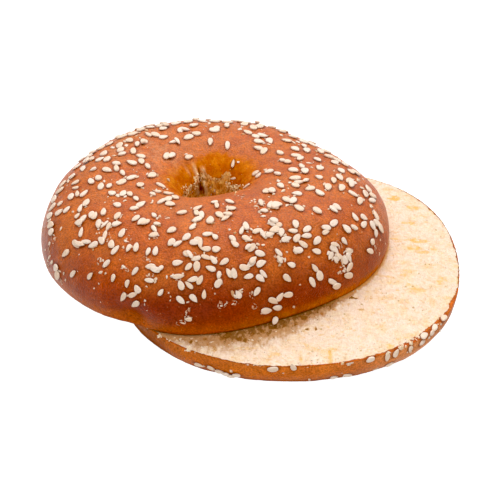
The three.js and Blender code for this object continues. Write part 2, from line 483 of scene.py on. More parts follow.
        # painted shade in the crease
        cream = g.mix(g.mask("crease"), cream, GOLD_CREASE_SHADE)
    wisps = g.noise(2.6, 4.0, 0.62, distort=2.2)
    shade = g.math("MULTIPLY", g.ramp(strand, 0.3, 0.7, 0.92, 1.05), g.ramp(wisps, 0.30, 0.62, 0.86, 1.03))
    grey2 = g.add("ShaderNodeCombineColor", {0: g.math("MULTIPLY_ADD", shade, 0.5, 0.51), 1: shade,
                                             2: g.math("MULTIPLY_ADD", shade, 1.5, -0.49)}).outputs[0]
    cream = g.mix(1.0, cream, grey2, "MULTIPLY")

    edge = g.math("ADD", g.mask("crumb"), g.math("MULTIPLY", g.math("SUBTRACT", g.noise(0.8, 3.0, 0.65), 0.5), 1.1))
    is_crumb = g.ramp(edge, -0.06, 0.12)
    under = g.math("MULTIPLY", g.math("MULTIPLY", g.ramp(edge, 0.9, 0.1), g.mask("line")), g.ramp(drift, 0.45, 0.62))
    cream = g.mix(under, cream, CRUMB_EDGE)
    line = g.math("MULTIPLY", g.ramp(edge, -0.55, -0.1), g.mask("line"))
    crust = g.mix(line, crust, CRUST_LINE)
    colour = g.mix(is_crumb, crust, cream)

    rough = g.ramp(fine, 0.2, 0.8, 0.29, 0.46)
    if top:
        rough = g.blend(g.mask("gold"), rough, 1.0)
    else:
        rough = g.blend(g.ramp(g.mask("foot"), 0.0, 0.4), rough, 1.0)
    rough = g.blend(is_crumb, rough, 0.92)
    peel = g.math("ADD", g.math("MULTIPLY", fine, 0.8), g.math("MULTIPLY", grain, 0.55))
    wrinkle = g.noise(1.0, 3.0, 0.6, g.stretch(1.9, 1.9, 0.8), distort=0.6)
    peel = g.math("ADD", peel, g.math("MULTIPLY", wrinkle, g.math("MULTIPLY", g.mask("wrinkle"), 2.2)))
    open_crumb = g.math("ADD", g.math("MULTIPLY", strand, 1.0), g.math("MULTIPLY", fine, 0.8))
    open_crumb = g.math("SUBTRACT", open_crumb, g.math("MULTIPLY", pores, 1.2))
    height = g.blend(is_crumb, g.math("MULTIPLY", peel, 0.38), g.math("MULTIPLY", open_crumb, 0.42))
    normal = g.bump(height, 1.0, 1.0)
    return g.surface({"Base Color": colour, "Roughness": rough, "Normal": normal,
                      "IOR": 1.45, "Specular IOR Level": 0.28 if top else 0.04})


# linear colours
CRUST_RED = (0.475, 0.098, 0.016)
CRUST_TAN = (0.53, 0.132, 0.020)
CRUST_ORANGE = (0.58, 0.135, 0.012)
CRUST_AMBER = (0.42, 0.060, 0.0025)
CRUST_DARK = (0.24, 0.020, 0.0015)
CRUST_BLOTCH = (0.24, 0.032, 0.008)
CRUST_RIM = (0.47, 0.095, 0.006)
CRUST_FLECK = (0.72, 0.36, 0.14)
CRUST_LINE = (0.17, 0.065, 0.018)
# painted shade round the seeds
CRUST_DENT_SHADE = (0.17, 0.030, 0.004)
SIDE_GOLD = (0.75, 0.204, 0.023)
SIDE_TAN = (0.82, 0.330, 0.120)
GOLD_DEEP = (0.56, 0.130, 0.003)
GOLD_LIGHT = (0.70, 0.235, 0.010)
GOLD_DARK = (0.44, 0.080, 0.002)
GOLD_HALO = (0.56, 0.150, 0.014)
GOLD_PALE = (0.84, 0.54, 0.290)
# painted shade in the crease of the hole
GOLD_CREASE_SHADE = (0.20, 0.050, 0.005)
CRUMB_CREAM = (0.91, 0.735, 0.585)
CRUMB_SPOT = (0.50, 0.33, 0.10)
CRUMB_WARM = (0.89, 0.695, 0.475)
CRUMB_TAN = (0.85, 0.53, 0.165)
CRUMB_PORE = (0.42, 0.22, 0.08)
# painted warm light inside the pores
CRUMB_PIT_BOUNCE = (0.86, 0.60, 0.30)
# pale crumb; on the two ends of the torn edge it is painted light
CRUMB_LIGHT = (1.0, 0.76, 0.42)
# darker side crust, with painted shade at the left and along the floor
SIDE_BROWN_AND_SHADE = (0.25, 0.062, 0.012)
CRUMB_EDGE = (0.84, 0.56, 0.24)
# painted glow of thrown-back light
CRUMB_PAINTED_GLOW = (0.95, 0.50, 0.15)
# painted shade round the torn hollows
CRUMB_BESIDE_SHADE = (0.90, 0.74, 0.50)
# scorched crust and painted shade along the floor
CRUST_SCORCH_AND_SHADE = (0.105, 0.023, 0.006)
# painted shadow of the top half, on pressed crumb
CRUMB_PRESSED_SHADE = (0.60, 0.330, 0.145)
# painted deep shadow close under the top half
CRUMB_UMBER_SHADE = (0.30, 0.130, 0.026)
# crumb of the hole's open wall, painted warm for the light thrown back from the golden wall
CRUMB_TORN = (0.92, 0.56, 0.18)
# painted shade of the crumb deep in the hole, ochre to brown
CRUMB_OCHRE_SHADE = (0.95, 0.53, 0.125)
CRUMB_BROWN_SHADE = (0.58, 0.20, 0.018)


# ------------------------------------------------------------------- top half
def near_pixels(P, spots):
    """Soft patches round places named by a pixel of the view: [(x, y, mm across, weight)]."""
    total = np.zeros(P.shape[:-1])
    for x, y, size, weight in spots:
        seen = project(P)
        miss = np.hypot(seen[..., 0] - x, seen[..., 1] - y)
        depth = (P - EYE) @ FORWARD
        at = np.unravel_index(np.where(miss < 2.0, depth, 1e9).argmin(), miss.shape)
        total = total + weight * np.exp(-(((P - P[at]) ** 2).sum(-1)) / (0.6 * size) ** 2)
    return total


# height of the torn edge in the hole above the cut face, by degrees round it
FRINGE = ((0, 14.2), (20, 14.0), (30, 14.2), (40, 13.8), (48, 13.6), (54, 14.4), (58, 16.0), (63, 16.9), (70, 15.9),
          (76, 15.0), (83, 14.7), (90, 15.1), (96, 15.6), (101, 16.4), (106, 17.2), (110, 16.4), (114, 14.9),
          (120, 14.5), (130, 14.1), (145, 14.3), (155, 13.5), (165, 14.1), (180, 13.6), (215, 14.6), (240, 13.4),
          (268, 14.9), (300, 13.8), (330, 14.8), (360, 14.2))


def fringe_height(t):
    deg = np.degrees(t) % 360
    return np.interp(deg, [a for a, _ in FRINGE], [h for _, h in FRINGE])


def make_top(material):
    steps = 498
    t, P, names, us = ring_points(upper_point, (("cut", 24, -1.6), ("dome", 80, 1), ("slope", 88, 1), ("wall", 8, 1)), steps)
    N = ring_normals(P)
    z = P[..., 2]
    is_cut = np.broadcast_to((names == "cut")[None, :], z.shape)
    is_dome = np.broadcast_to((names == "dome")[None, :], z.shape)
    is_slope = np.broadcast_to((names == "slope")[None, :], z.shape)
    is_wall = np.broadcast_to((names == "wall")[None, :], z.shape)
    N = np.where(is_cut[..., None], np.array([0, 0, -1.0]), N)

    # length from the cut edge up over the dome
    step = np.linalg.norm(P - np.roll(P, 1, 1), axis=-1)
    first_dome = int(np.argmax(names == "dome"))
    along = np.cumsum(np.where(is_dome, step, 0), 1)
    rim = np.hypot(P[..., 0], P[..., 1])
    rim_edge = np.linalg.norm(P[:, first_dome, :2], axis=-1)[:, None]

    # torn edge in the hole: positive where the crumb lies open
    wobble = 0.55 * noise(np.stack(np.broadcast_arrays(9 * np.cos(t), 9 * np.sin(t), 0 * t), -1), 5) \
        + 0.50 * noise(np.stack(np.broadcast_arrays(24 * np.cos(t), 24 * np.sin(t), 0 * t), -1), 6)
    torn = fringe_height(t) + wobble + 0.5 * fbm(P / 1.3, 2, 7) - z
    torn = np.where(is_slope & (us[None, :] > 0.3), np.clip(torn, -4, 4), np.where(is_wall, 3.0, -4.0))
    open_face = smooth((torn + 0.2) / 0.7)
    # upright folds where the dough was joined: two swollen strands beside a crease
    around = np.degrees(turn(t, 1.955))
    strands = np.where(is_slope, smooth((z - 8) / 3) * smooth((20.0 - z) / 3.0), 0)
    fold_left = np.exp(-((around - 6.5) / 3.2) ** 2) * strands
    fold_right = np.exp(-((around + 6.5) / 3.4) ** 2) * strands * smooth((18.6 - z) / 1.5)
    crease = np.exp(-(around / (1.1 + 0.30 * np.clip(15.5 - z, 0, 8))) ** 2) * strands * smooth((19.2 - z) / 2.0)
    # painted shade in and beside the crease, broadening low in the hole
    shadow = np.exp(-((around - 2) / (1.0 + 2.6 * np.clip(15.0 - z, 0, 6))) ** 2) * strands * smooth((19.2 - z) / 2.0)
    crust = 0.26 * fbm(P / 15, 2, 11) + 0.10 * fbm(P / 5.0, 3, 12) + 0.03 * noise(P / 1.4, 13)
    f1, f2, _ = cells(P / np.array([2.2, 2.2, 3.0]), 21)
    pit = np.clip(0.55 - f1, 0, 1)
    string = fbm(P / np.array([0.9, 0.9, 3.4]), 3, 18)
    ragged = -0.60 + 0.50 * fbm(P / 2.2, 4, 14) + 0.40 * string - 1.5 * pit
    lip = 0.40 * np.exp(-((torn - 0.25) / 0.4) ** 2) * (0.6 + 0.8 * noise(P / 0.9, 15))
    crust = crust + 0.45 * fold_left + 0.45 * fold_right - 0.3 * crease
    crust = crust - 0.7 * np.where(is_dome, smooth((P[..., 1] - 8) / 22) * smooth((z - 8) / 8), 0)
    crust = crust - 2.2 * np.where(is_dome, near_pixels(P + UPPER_AT, ((127, 322, 9, 1.0),)), 0)
    ragged = ragged + 0.35 * fold_left + 0.35 * fold_right - 0.5 * crease
    lift = crust * (1 - open_face) + ragged * open_face + np.where(is_cut | is_dome, 0, lip)
    # the knife cut: fine pores only, since the other half lies under it
    c1, _, _ = cells(P / 2.4, 31)
    knife = -0.10 - 0.35 * np.clip(0.45 - c1, 0, 1) - 0.06 * fbm(P / 1.1, 3, 32)
    lift = np.where(is_cut, np.clip(knife, -0.6, -0.02), lift)
    # relief fades out towards the two edges of the cut face
    near_edge = np.where(is_dome, smooth(along / 2.0), np.where(is_wall | is_slope, smooth(z / 1.5), 1.0))
    near_edge = np.where(is_cut, smooth((rim_edge - rim) / 1.0), near_edge)
    fine_edge = np.where(is_dome, (1 - smooth(along / 2.0)) * (0.10 * fbm(P / 1.6, 3, 16)), 0)
    Q = P + N * (lift * near_edge + fine_edge)[..., None]
    # the lowest edge tucks in a little at the front left
    spot = EYE + ray(134, 325) * ((UPPER_AT[2] - EYE[2]) / ray(134, 325)[2]) - UPPER_AT
    tuck = 1.5 * np.exp(-(turn(t, math.atan2(spot[1], spot[0])) / 0.17) ** 2)
    tuck = tuck * np.where(is_dome, 1 - smooth(z / 11), np.where(is_cut, smooth((9 - rim_edge + rim) / 9), 0))
    Q = Q - tuck[..., None] * np.stack([np.cos(t) + 0 * z, np.sin(t) + 0 * z, 0 * z], -1)
    Q[..., 2] = np.maximum(Q[..., 2], 0.02)
    Q += UPPER_AT
    world = P + UPPER_AT

    # masks
    cut_in = rim_edge - rim - (0.45 + 0.25 * noise(np.stack(np.broadcast_arrays(5 * np.cos(t), 5 * np.sin(t), 0 * t), -1), 41))
    crumb = np.where(is_cut, np.clip(cut_in, -1, 4), np.where(is_dome, -np.clip(along, 0.6, 4), torn))
    # the wall of the hole baked less: golden, with a clearer upper edge at its far side
    deg = np.degrees(t) % 360
    top_of_gold = np.interp(deg, (0, 20, 40, 60, 75, 90, 100, 112, 125, 145, 165, 190, 230, 300, 360),
                            (19.8, 20.1, 19.9, 19.9, 20.4, 20.6, 20.4, 19.9, 19.7, 19.8, 20.0, 19.4, 19.6, 20.0, 19.8))
    blur = np.interp(deg, (0, 20, 60, 75, 100, 115, 160, 200, 360), (2.2, 2.0, 1.3, 0.8, 0.8, 2.6, 3.2, 2.4, 2.2))
    edge = top_of_gold - z + 0.55 * fbm(P / np.array([1.6, 1.6, 3.0]), 3, 42)
    gold = np.where(is_slope, smooth(edge / blur + 0.5), np.where(is_wall, 1.0, 0.0))
    gold = gold * np.where(is_slope & (us[None, :] < 0.08), 0, 1)
    halo = np.where(is_slope, smooth((edge + 3.0) / 3.5), 0) * smooth(0.75 + 0.5 * fbm(P / 3, 2, 48)) * (us[None, :] > 0.02)
    # how dark the gold is: darker at random, in a band along its top at the back, and low on the right of the hole,
    # where it is painted shade
    deep = np.where(is_slope, np.clip(0.30 + 0.8 * fbm(P / np.array([3.0, 3.0, 5.0]), 3, 49)
                                      + 0.8 * np.exp(-(((deg - 38) / 16) ** 2 + ((z - 16.0) / 2.6) ** 2))
                                      + 0.35 * np.exp(-(((deg - 90) / 14) ** 2 + ((z - 20.3) / 0.7) ** 2)), 0, 1), 0)
    pale = np.clip(1.1 * fold_left + 1.1 * fold_right - 1.6 * crease
                   + 0.40 * np.exp(-(((deg - 132) / 2.2) ** 2 + ((z - 18.0) / 1.2) ** 2))
                   + 0.18 * smooth(-edge / 1.5 + 1.2) * np.exp(-((deg - 140) / 24) ** 2) * smooth(0.5 + 1.2 * fbm(P / 2.6, 2, 57)), 0, 1) \
        * smooth(0.8 + fbm(P / np.array([0.6, 0.6, 2.6]), 2, 50))
    # painted light on the two ends of the torn edge that face the light; the thin lip along it is paler crumb
    pale_end = np.exp(-((deg - 34) / 15) ** 2) + np.exp(-((deg - 160) / 8) ** 2)
    pale_lip = 0.75 * np.exp(-((torn - 0.2) / 0.30) ** 2)
    pale = np.where(torn > -0.2, np.clip(pale + smooth((torn + 0.1) / 0.4) * (0.85 * pale_end * smooth(0.65 + fbm(P / 0.9, 2, 58)) + pale_lip * smooth(0.5 + fbm(P / 1.1, 2, 59))), 0, 1), pale)
    height = np.where(is_dome, z, 30.0)
    rim_band = np.where(is_dome, 1 - smooth((z - 1.6 - 1.0 * noise(world / 9, 43)) / 2.6), 0)
    belt = np.exp(-((height - 6.0) / 3.6) ** 2)
    uneven = 0.5 + 0.5 * fbm(world / 22, 2, 44)
    back = smooth((world[..., 1] - SHIFT[1] - 20) / 30)
    front = smooth((SHIFT[1] + 18 - world[..., 1]) / 30)
    low = smooth((17.5 - height) / 10.5)
    bake = low * front * 0.35 + 0.12 * rim_band * front - near_pixels(world, ((103, 284, 11, 0.26), (68, 252, 12, 0.14), (190, 288, 12, 0.05))) + belt * (0.10 + 0.55 * back * uneven) + near_pixels(world, (
        (165, 304, 10, 0.50), (195, 306, 9, 0.45), (225, 302, 10, 0.50), (140, 308, 8, 0.35),
        (255, 290, 11, 0.40), (290, 292, 10, 0.45), (320, 295, 9, 0.35), (110, 305, 8, 0.2), (85, 296, 7, 0.15),
        (370, 262, 9, 0.15)))
    amber = belt * 0.25 * (1 - back) + near_pixels(world, (
        (105, 287, 11, 0.85), (85, 270, 9, 0.5), (125, 296, 9, 0.6), (330, 262, 10, 0.36),
        (300, 268, 9, 0.35), (235, 318, 7, 0.4), (213, 289, 9, 0.7)))
    blotch = near_pixels(world, ((205, 313, 7, 0.7), (168, 314, 6, 0.35), (371, 275, 6, 0.35), (56, 222, 5, 0.3), (44, 240, 6, 0.3)))
    wrinkle = np.exp(-((height - 12.5) / 3.2) ** 2) * smooth(0.55 + fbm(world / 9, 2, 45)) * np.where(is_dome, 1, 0)
    # painted light: the lowest edge of the dome, most on the right front, is coloured gold for the light thrown up from
    # the crumb
    lit_rim = np.where(is_dome, (1 - smooth((along - 1.2) / 2.4)) * (0.10 + 0.90 * smooth((world[..., 0] + 14) / 26)) * smooth((5 - P[..., 1]) / 30), 0)
    gold = np.maximum(gold, 0.8 * lit_rim * smooth(0.8 + fbm(world / 2.2, 2, 60)))
    masks = {"crumb": crumb, "gold": gold, "halo": halo, "deep": deep, "pale": pale,
             # the crease mask carries the painted shade in and beside the crease
             "crease": np.clip(np.maximum(crease, 0.9 * shadow * smooth((15.2 - z) / 2.5)), 0, 1), "rim": np.clip(rim_band, 0, 1) * 0.85, "bake": np.clip(bake, 0, 1),
             "amber": np.clip(amber, 0, 1), "blotch": np.clip(blotch, 0, 1), "wrinkle": np.clip(wrinkle, 0, 1),
             "line": np.where(is_cut, 1.0, 0.0), "tan": np.clip(0.6 * fbm(world / 4, 3, 46), 0, 1),
             "hole_shade": np.where(is_slope | is_wall, 0.35 + 0.65 * smooth((torn + 0.5 * noise(P / 1.2, 47)
                                                                          - np.where((np.abs(deg - 62) < 13) | (np.abs(deg - 150) < 9), 1.3, 0.1)) / 0.9), 0.0),
             "seed_dent_shade": np.zeros_like(z)}
    return ring_object("bagel_top", Q, masks, material)


# ---------------------------------------------------------------- bottom half
def on_cut(x, y):
    d = ray(x, y)
    return EYE + d * ((LOWER["thickness"] - EYE[2]) / d[2])


TAN_SPOTS = (  # denser, darker patches of the cut crumb: x, y, mm long, mm high, weight
    (394, 198, 4.4, 2.2, 1.0), (413, 208, 4.6, 2.0, 0.8), (388, 189, 4.5, 1.4, 0.4), (408, 222.5, 5.0, 1.3, 0.8),
    (419, 241, 6.5, 1.4, 0.75), (414, 248, 6.0, 1.6, 0.8), (423, 252, 4.5, 1.2, 0.7), (433, 248, 3.0, 2.6, 0.5),
    (396, 237, 4.5, 1.6, 0.3), (428, 266, 4.0, 2.0, 0.45), (407, 271, 6.5, 1.2, 0.5), (393, 282, 6.0, 1.6, 0.4),
    (415, 290, 7.0, 1.6, 0.4), (386, 298, 6.0, 1.4, 0.4), (404, 301, 4.5, 1.5, 0.4), (432, 302, 2.0, 3.0, 0.35),
    (424, 321, 2.5, 4.0, 0.3), (413, 334, 6.0, 1.6, 0.4), (405, 309, 2.2, 2.4, 0.25), (395, 314, 2.2, 2.4, 0.25),
    (330, 358, 1.6, 5.0, 0.75), (301, 357, 1.4, 3.5, 0.4), (390, 349, 2.2, 3.4, 0.6), (367, 331, 3.0, 2.2, 0.2),
    (370, 222, 5.0, 2.0, 0.3), (402, 262, 5.0, 1.4, 0.3), (440, 280, 2.4, 3.4, 0.35), (383, 325, 3.0, 1.5, 0.25))


SHADED_PIT_SPOTS = (  # torn hollows of the cut crumb near the rim of the top half, painted browner for the shade in them
    (227.3, 335.5, 2.6, 1.6, 0.9), (222, 338, 1.6, 1.4, 0.6), (244.8, 340, 1.6, 1.8, 0.7), (239, 338.5, 1.4, 1.2, 0.6),
    (190.6, 341.3, 1.1, 1.2, 0.8), (214.5, 348.5, 1.2, 2.0, 0.45), (208, 345, 1.0, 1.4, 0.4), (273.5, 327.5, 3.4, 1.3, 0.85),
    (262, 331, 1.8, 1.2, 0.6), (284, 325.5, 2.0, 1.0, 0.6), (303.8, 317.5, 2.4, 1.6, 0.7), (307, 329.3, 2.2, 0.9, 0.65),
    (315.8, 328.3, 0.9, 1.4, 0.65), (296, 323, 1.5, 1.0, 0.5), (353.3, 297.4, 3.2, 0.9, 0.75), (361.3, 309.4, 2.6, 0.8, 0.45),
    (349, 304, 1.4, 0.8, 0.4), (335, 309, 1.8, 1.0, 0.5), (322, 313, 1.4, 1.0, 0.45), (371, 297, 1.2, 1.3, 0.4),
    (252, 334.5, 1.3, 1.2, 0.5), (205, 338.5, 1.6, 1.0, 0.5), (343, 318, 1.0, 0.9, 0.35))


def past_rim(world):
    """How far a point lies outside the lowest edge of the top half."""
    x, y = world[..., 0] - UPPER_AT[0], world[..., 1] - UPPER_AT[1]
    return np.hypot(x, y) - (UPPER["radius"] - UPPER["undercut"] + waves(UPPER["outline"], np.arctan2(y, x)))


def make_bottom(material):
    steps = 600
    t, P, names, us = ring_points(lower_point, (("base", 8, 1), ("side", 30, 1), ("cut", 118, 1.5), ("wall", 8, 1)), steps)
    N = ring_normals(P)
    z = P[..., 2]
    T = LOWER["thickness"]
    is_base = np.broadcast_to((names == "base")[None, :], z.shape)
    is_side = np.broadcast_to((names == "side")[None, :], z.shape)
    is_cut = np.broadcast_to((names == "cut")[None, :], z.shape)
    is_wall = np.broadcast_to((names == "wall")[None, :], z.shape)
    N = np.where(is_cut[..., None], np.array([0, 0, 1.0]), np.where(is_base[..., None], np.array([0, 0, -1.0]), N))
    world = P + LOWER_AT
    first_cut = int(np.argmax(names == "cut"))
    rim_edge = np.linalg.norm(P[:, first_cut, :2], axis=-1)[:, None]
    inward = rim_edge - np.hypot(P[..., 0], P[..., 1])
    first_wall = int(np.argmax(names == "wall"))
    hole_edge = np.linalg.norm(P[:, first_wall, :2], axis=-1)[:, None]

    round_t = lambda k: np.stack(np.broadcast_arrays(k * np.cos(t), k * np.sin(t), 0 * t), -1)
    # how thick the crust shows round the cut face, and how far crumb is torn over the side
    at_angle = lambda x, y: math.atan2(*(on_cut(x, y) - LOWER_AT)[1::-1])
    torn_over = np.exp(-(turn(t, at_angle(234, 362)) / 0.20) ** 2)
    thick = 0.38 + 0.30 * noise(round_t(7), 51) + 0.34 * noise(round_t(23), 52) + 0.22 * noise(round_t(60), 57) - 0.5 * torn_over
    thick = thick - 0.14 * smooth(np.sin(t) * 1.5) + 1.35 * np.exp(-(turn(t, at_angle(426, 332)) / 0.32) ** 2)
    tear = 0.55 * noise(round_t(9), 53) + 0.65 * noise(round_t(30), 54) + 0.40 * noise(round_t(75), 82)
    tear = tear + 0.35 * torn_over - 0.6 * np.exp(-(turn(t, at_angle(424, 332)) / 0.44) ** 2)

    side = 0.22 * fbm(P / 12, 2, 61) + 0.10 * fbm(P / 4.0, 3, 62) + 0.03 * noise(P / 1.3, 63)
    side = side * smooth(z / 1.5) * smooth((T - z) / 1.6)
    # crumb: fine pores, a few larger ones, and a slight roll
    c1, _, k1 = cells(world / np.array([1.7, 1.3, 1.5]), 64)
    c2, _, k2 = cells(world / np.array([4.6, 3.2, 4.0]), 65)
    pores = 0.50 * np.clip(0.42 - c1, 0, 1) * (0.4 + k1) + 1.6 * np.clip(0.20 - c2, 0, 1) * (k2 > 0.35)
    roll = 0.10 * fbm(world / 7, 2, 66) + 0.10 * fbm(world / np.array([1.1, 1.9, 1.5]), 3, 67)
    face = np.clip(roll - pores - 0.06, -1.0, 0.14)
    beyond = past_rim(world)
    rough = smooth((9.5 - beyond) / 7.0) * smooth(beyond / 1.2) * smooth((UPPER_AT[1] - world[..., 1]) / 30)
    c3, _, k3 = cells(world / np.array([2.6, 1.9, 2.4]), 79)
    face = face + rough * (0.45 * fbm(world / np.array([1.7, 2.2, 2.0]), 3, 78) + 0.20 * noise(world / 0.75, 83) - 1.3 * np.clip(0.34 - c3, 0, 1) * (k3 > 0.3) - 0.08)
    face = np.where(beyond < 1.5, np.minimum(face, 0.1), np.clip(face, -1.2, 0.45))
    face = face * smooth(inward / 0.7)
    rim_rise = 0.10 * np.exp(-((inward - 0.35) / 0.3) ** 2) * (0.5 + noise(world / 0.9, 68))
    hole = 0.4 * fbm(P / 2.6, 3, 69) * smooth(z / 1.5) * smooth((T - z) / 1.2)
    base = -0.0 * z
    lift = np.where(is_cut, face + rim_rise, np.where(is_side, side, np.where(is_wall, hole, base)))
    bulge = 0.9 * np.exp(-(turn(t, at_angle(436, 330)) / 0.42) ** 2) * np.where(is_side, smooth((z - 2) / 5), np.where(is_cut, smooth((8 - inward) / 8), 0))
    bulge = bulge + 0.45 * np.exp(-(turn(t, at_angle(430, 336)) / 0.30) ** 2) * np.where(is_side, smooth(z / 3) * smooth((T + 1 - z) / 4), 0)
    radial = np.stack([np.cos(t) + 0 * z, np.sin(t) + 0 * z, 0 * z], -1)
    Q = P + N * lift[..., None] + radial * bulge[..., None]
    # the outline of the cut edge is ragged, not a clean curve
    ragged = (0.16 * noise(round_t(26), 55) + 0.10 * noise(round_t(60), 56)) * np.exp(-(np.maximum(inward, 0) / 1.5) ** 2) \
        * np.where(is_side, smooth((z - T + 2.2) / 2.2), np.where(is_cut, 1, 0))
    Q = Q + radial * ragged[..., None]
    # dimples of the tray side, never below the surface it stands on
    dimple = np.where(is_base, 0.25 * np.clip(fbm(P / 5, 3, 70), 0, 1), 0)
    Q[..., 2] = np.maximum(Q[..., 2] + dimple, 0.0)
    Q += LOWER_AT

    arc = np.cumsum(np.where(is_side, np.linalg.norm(P - np.roll(P, 1, 1), axis=-1), 0), 1)
    arc_all = arc[:, first_cut - 1][:, None]
    below = arc_all - arc                                    # down the side from the cut edge
    crumb = np.where(is_cut, np.clip((inward - thick) * 1.6, -1, 4),
                     np.where(is_side, np.clip(tear - 0.45 - below, -4, 1), np.where(is_wall, np.clip(z - 7.2 + 0.8 * noise(P / 2, 71), -3, 3), -4.0)))
    tilt = np.stack([0.94 * world[..., 0] - 0.34 * world[..., 1], 0.34 * world[..., 0] + 0.94 * world[..., 1], world[..., 2]], -1)
    tan = 0.75 * smooth((fbm(tilt / np.array([4.6, 2.6, 4.0]), 3, 72) - 0.30) / 0.35) * (0.35 + 0.65 * smooth(0.5 + fbm(world / 12, 2, 73)))
    spotty = 1 + 0.55 * fbm(world / 1.3, 3, 81)
    for x, y, long, high, weight in TAN_SPOTS:
        at = on_cut(x, y)
        d = world - at
        near = np.exp(-((d[..., 0] / (0.50 * long)) ** 2 + (d[..., 1] / (1.0 * high)) ** 2))
        tan = tan + 1.15 * weight * smooth((near * spotty - 0.25) / 0.45)
    spot = np.zeros_like(z)
    for x, y, long, high, weight in SHADED_PIT_SPOTS:
        at = on_cut(x, y)
        d = world - at
        near = np.exp(-((d[..., 0] / (0.50 * long)) ** 2 + (d[..., 1] / (0.9 * high)) ** 2))
        spot = spot + weight * smooth((near * spotty - 0.25) / 0.45)
    # painted shadow of the top half on the crumb in front of its rim, where it also presses the crumb
    ahead = smooth((UPPER_AT[1] - 6 - world[..., 1]) / 30)
    wx = world[..., 0]
    reach = np.interp(wx, (-30, -22, -14, -6, 6, 13, 19, 25, 31, 40), (3.0, 5.0, 9.5, 13.0, 13.0, 11.0, 8.0, 5.0, 2.2, 1.0))
    reach = reach * (1 + 0.35 * fbm(world / 4.5, 2, 77))
    pressed_shade = np.where(is_cut, smooth((reach - beyond) / (0.80 * reach)) * (0.55 + 0.50 * ahead) * smooth((beyond + 5) / 4), 0)
    # how far the darkest painted shadow reaches out from the rim, along the front
    deep_at = np.interp(wx, (-16, -9, 6, 14, 22, 30), (2.0, 7.5, 8.5, 6.0, 3.6, 1.0))
    umber_shade = np.where(is_cut, smooth((beyond + 5) / 4) * np.clip((deep_at * (1 + 0.5 * fbm(world / 2.5, 2, 80)) - beyond) / deep_at, 0, 1) * smooth((wx + 13) / 7) * smooth((32 - wx) / 6), 0)
    front = smooth((-world[..., 1] - 20) / 25)
    amber = np.where(is_side, 0.80 * (0.45 + 0.55 * front) * (0.7 + 0.5 * fbm(world / 8, 2, 74))
                     * (1 - 0.6 * np.exp(-(turn(t, at_angle(428, 336)) / 0.26) ** 2)), 0)
    # darker low on the side and at the left: crust baked darker, and painted shade where the side turns under and under
    # the overhang of the top half
    left = smooth((-18.5 - world[..., 0]) / 11)
    right = np.exp(-(turn(t, 0.10) / 0.50) ** 2)
    bake = np.where(is_side, 0.10 * left + 0.55 * right + 0.90 * np.exp(-(z / 2.3) ** 2) + 0.16 * smooth(0.5 + fbm(world / 10, 2, 75)), 0)
    bake = np.where(is_base, 0.45 + 0.3 * fbm(world / 9, 3, 76), bake)
    rim_band = np.where(is_side, 0.10 * smooth((z - 6.5) / 3) + 0.70 * np.exp(-(turn(t, at_angle(422, 344)) / 0.32) ** 2) * smooth((z - 0.8) / 2.5), 0)
    # a darker line of crust shows round the far and right edges
    line = np.where(is_cut, 1.0, 0.0) * np.clip(0.35 + smooth((world[..., 1] + 30) / 20), 0, 1)
    masks = {"crumb": crumb, "rim": rim_band, "bake": np.clip(bake, 0, 1), "amber": np.clip(amber, 0, 1),
             # blotch on the side: painted shadow of the top half at the left, darker crust at the right, and a painted
             # dark line along the floor
             "blotch": np.where(is_side, np.clip(0.55 * left + 0.75 * right + 0.9 * np.exp(-(z / 1.1) ** 2), 0, 1), 0), "wrinkle": np.zeros_like(z), "line": line, "tan": np.clip(tan, 0, 1),
             "pressed_shade": np.clip(pressed_shade, 0, 1), "umber_shade": np.clip(umber_shade, 0, 1), "seed_dent_shade": np.zeros_like(z),
             "pit": np.where(is_cut, smooth((pores - 0.02) / 0.16), 0), "spot": np.where(is_cut, np.clip(spot, 0, 1), 0),
             # painted glow under the right of the top half's rim
             "glow": np.where(is_cut, 0.75 * (1 - smooth((beyond - 0.1) / 1.0)) * smooth((beyond + 4) / 2) * smooth((wx - 20) / 10), 0),
             # foot: scorched crust and painted shade along the floor, wider on the left
             "foot": np.where(is_side, 0.97 * np.exp(-(z / (2.3 + 2.7 * left)) ** 2), 0)}
    return ring_object("bagel_bottom", Q, masks, material)


top = make_top(bread("crust_top", True))
bottom = make_bottom(bread("crust_bottom", False))


# --------------------------------------------------------------------- casting
def tree_of(obj):
    return BVHTree.FromObject(obj, bpy.context.evaluated_depsgraph_get())


trees = {"top": tree_of(top), "bottom": tree_of(bottom)}


def cast(which, x, y):
    """Where the view's ray through a pixel first meets that half: point and normal, in mm."""
    d = Vector(ray(x, y))
    at, normal, _, dist = trees[which].ray_cast(Vector(EYE * MM), d)
    if at is None:
        return None
    return np.array(at) / MM, np.array(normal)


def seen_from_eye(p):
    """Whether a point is in the camera's view past both halves."""
    q = Vector(p * MM)
    eye = Vector(EYE * MM)
    d = (q - eye)
    for tree in trees.values():
        hit = tree.ray_cast(eye, d.normalized())
        if hit[0] is not None and hit[3] < d.length - 0.0009:
            return False
    return True


def lay(which, x, y, angle, px, lift):
    """A thing lying on a half at a pixel: centre, direction and normal, and its length in mm.

    angle is the direction in the picture in degrees, y down; px its length there."""
    found = cast(which, x, y)
    if found is None:
        return None
    p, n = found
    miss = project(p + n * lift) - (x, y)
    again = cast(which, x - miss[0], y - miss[1])
    if again is not None and np.linalg.norm(again[0] - p) < 4:
        p, n = again
    n = n / np.linalg.norm(n)
    a = math.radians(angle)
    e = RIGHT * math.cos(a) - UP * math.sin(a)
    m = np.cross(ray(x, y), e)
    along = np.cross(n, m)
    size = np.linalg.norm(along)
    if size < 0.05:
        return None
    along = along / size
    if along @ e < 0:
        along = -along
    scale = np.linalg.norm(project(p + 0.5 * along) - project(p - 0.5 * along))
    return p, along, n, px / max(scale, 0.6)


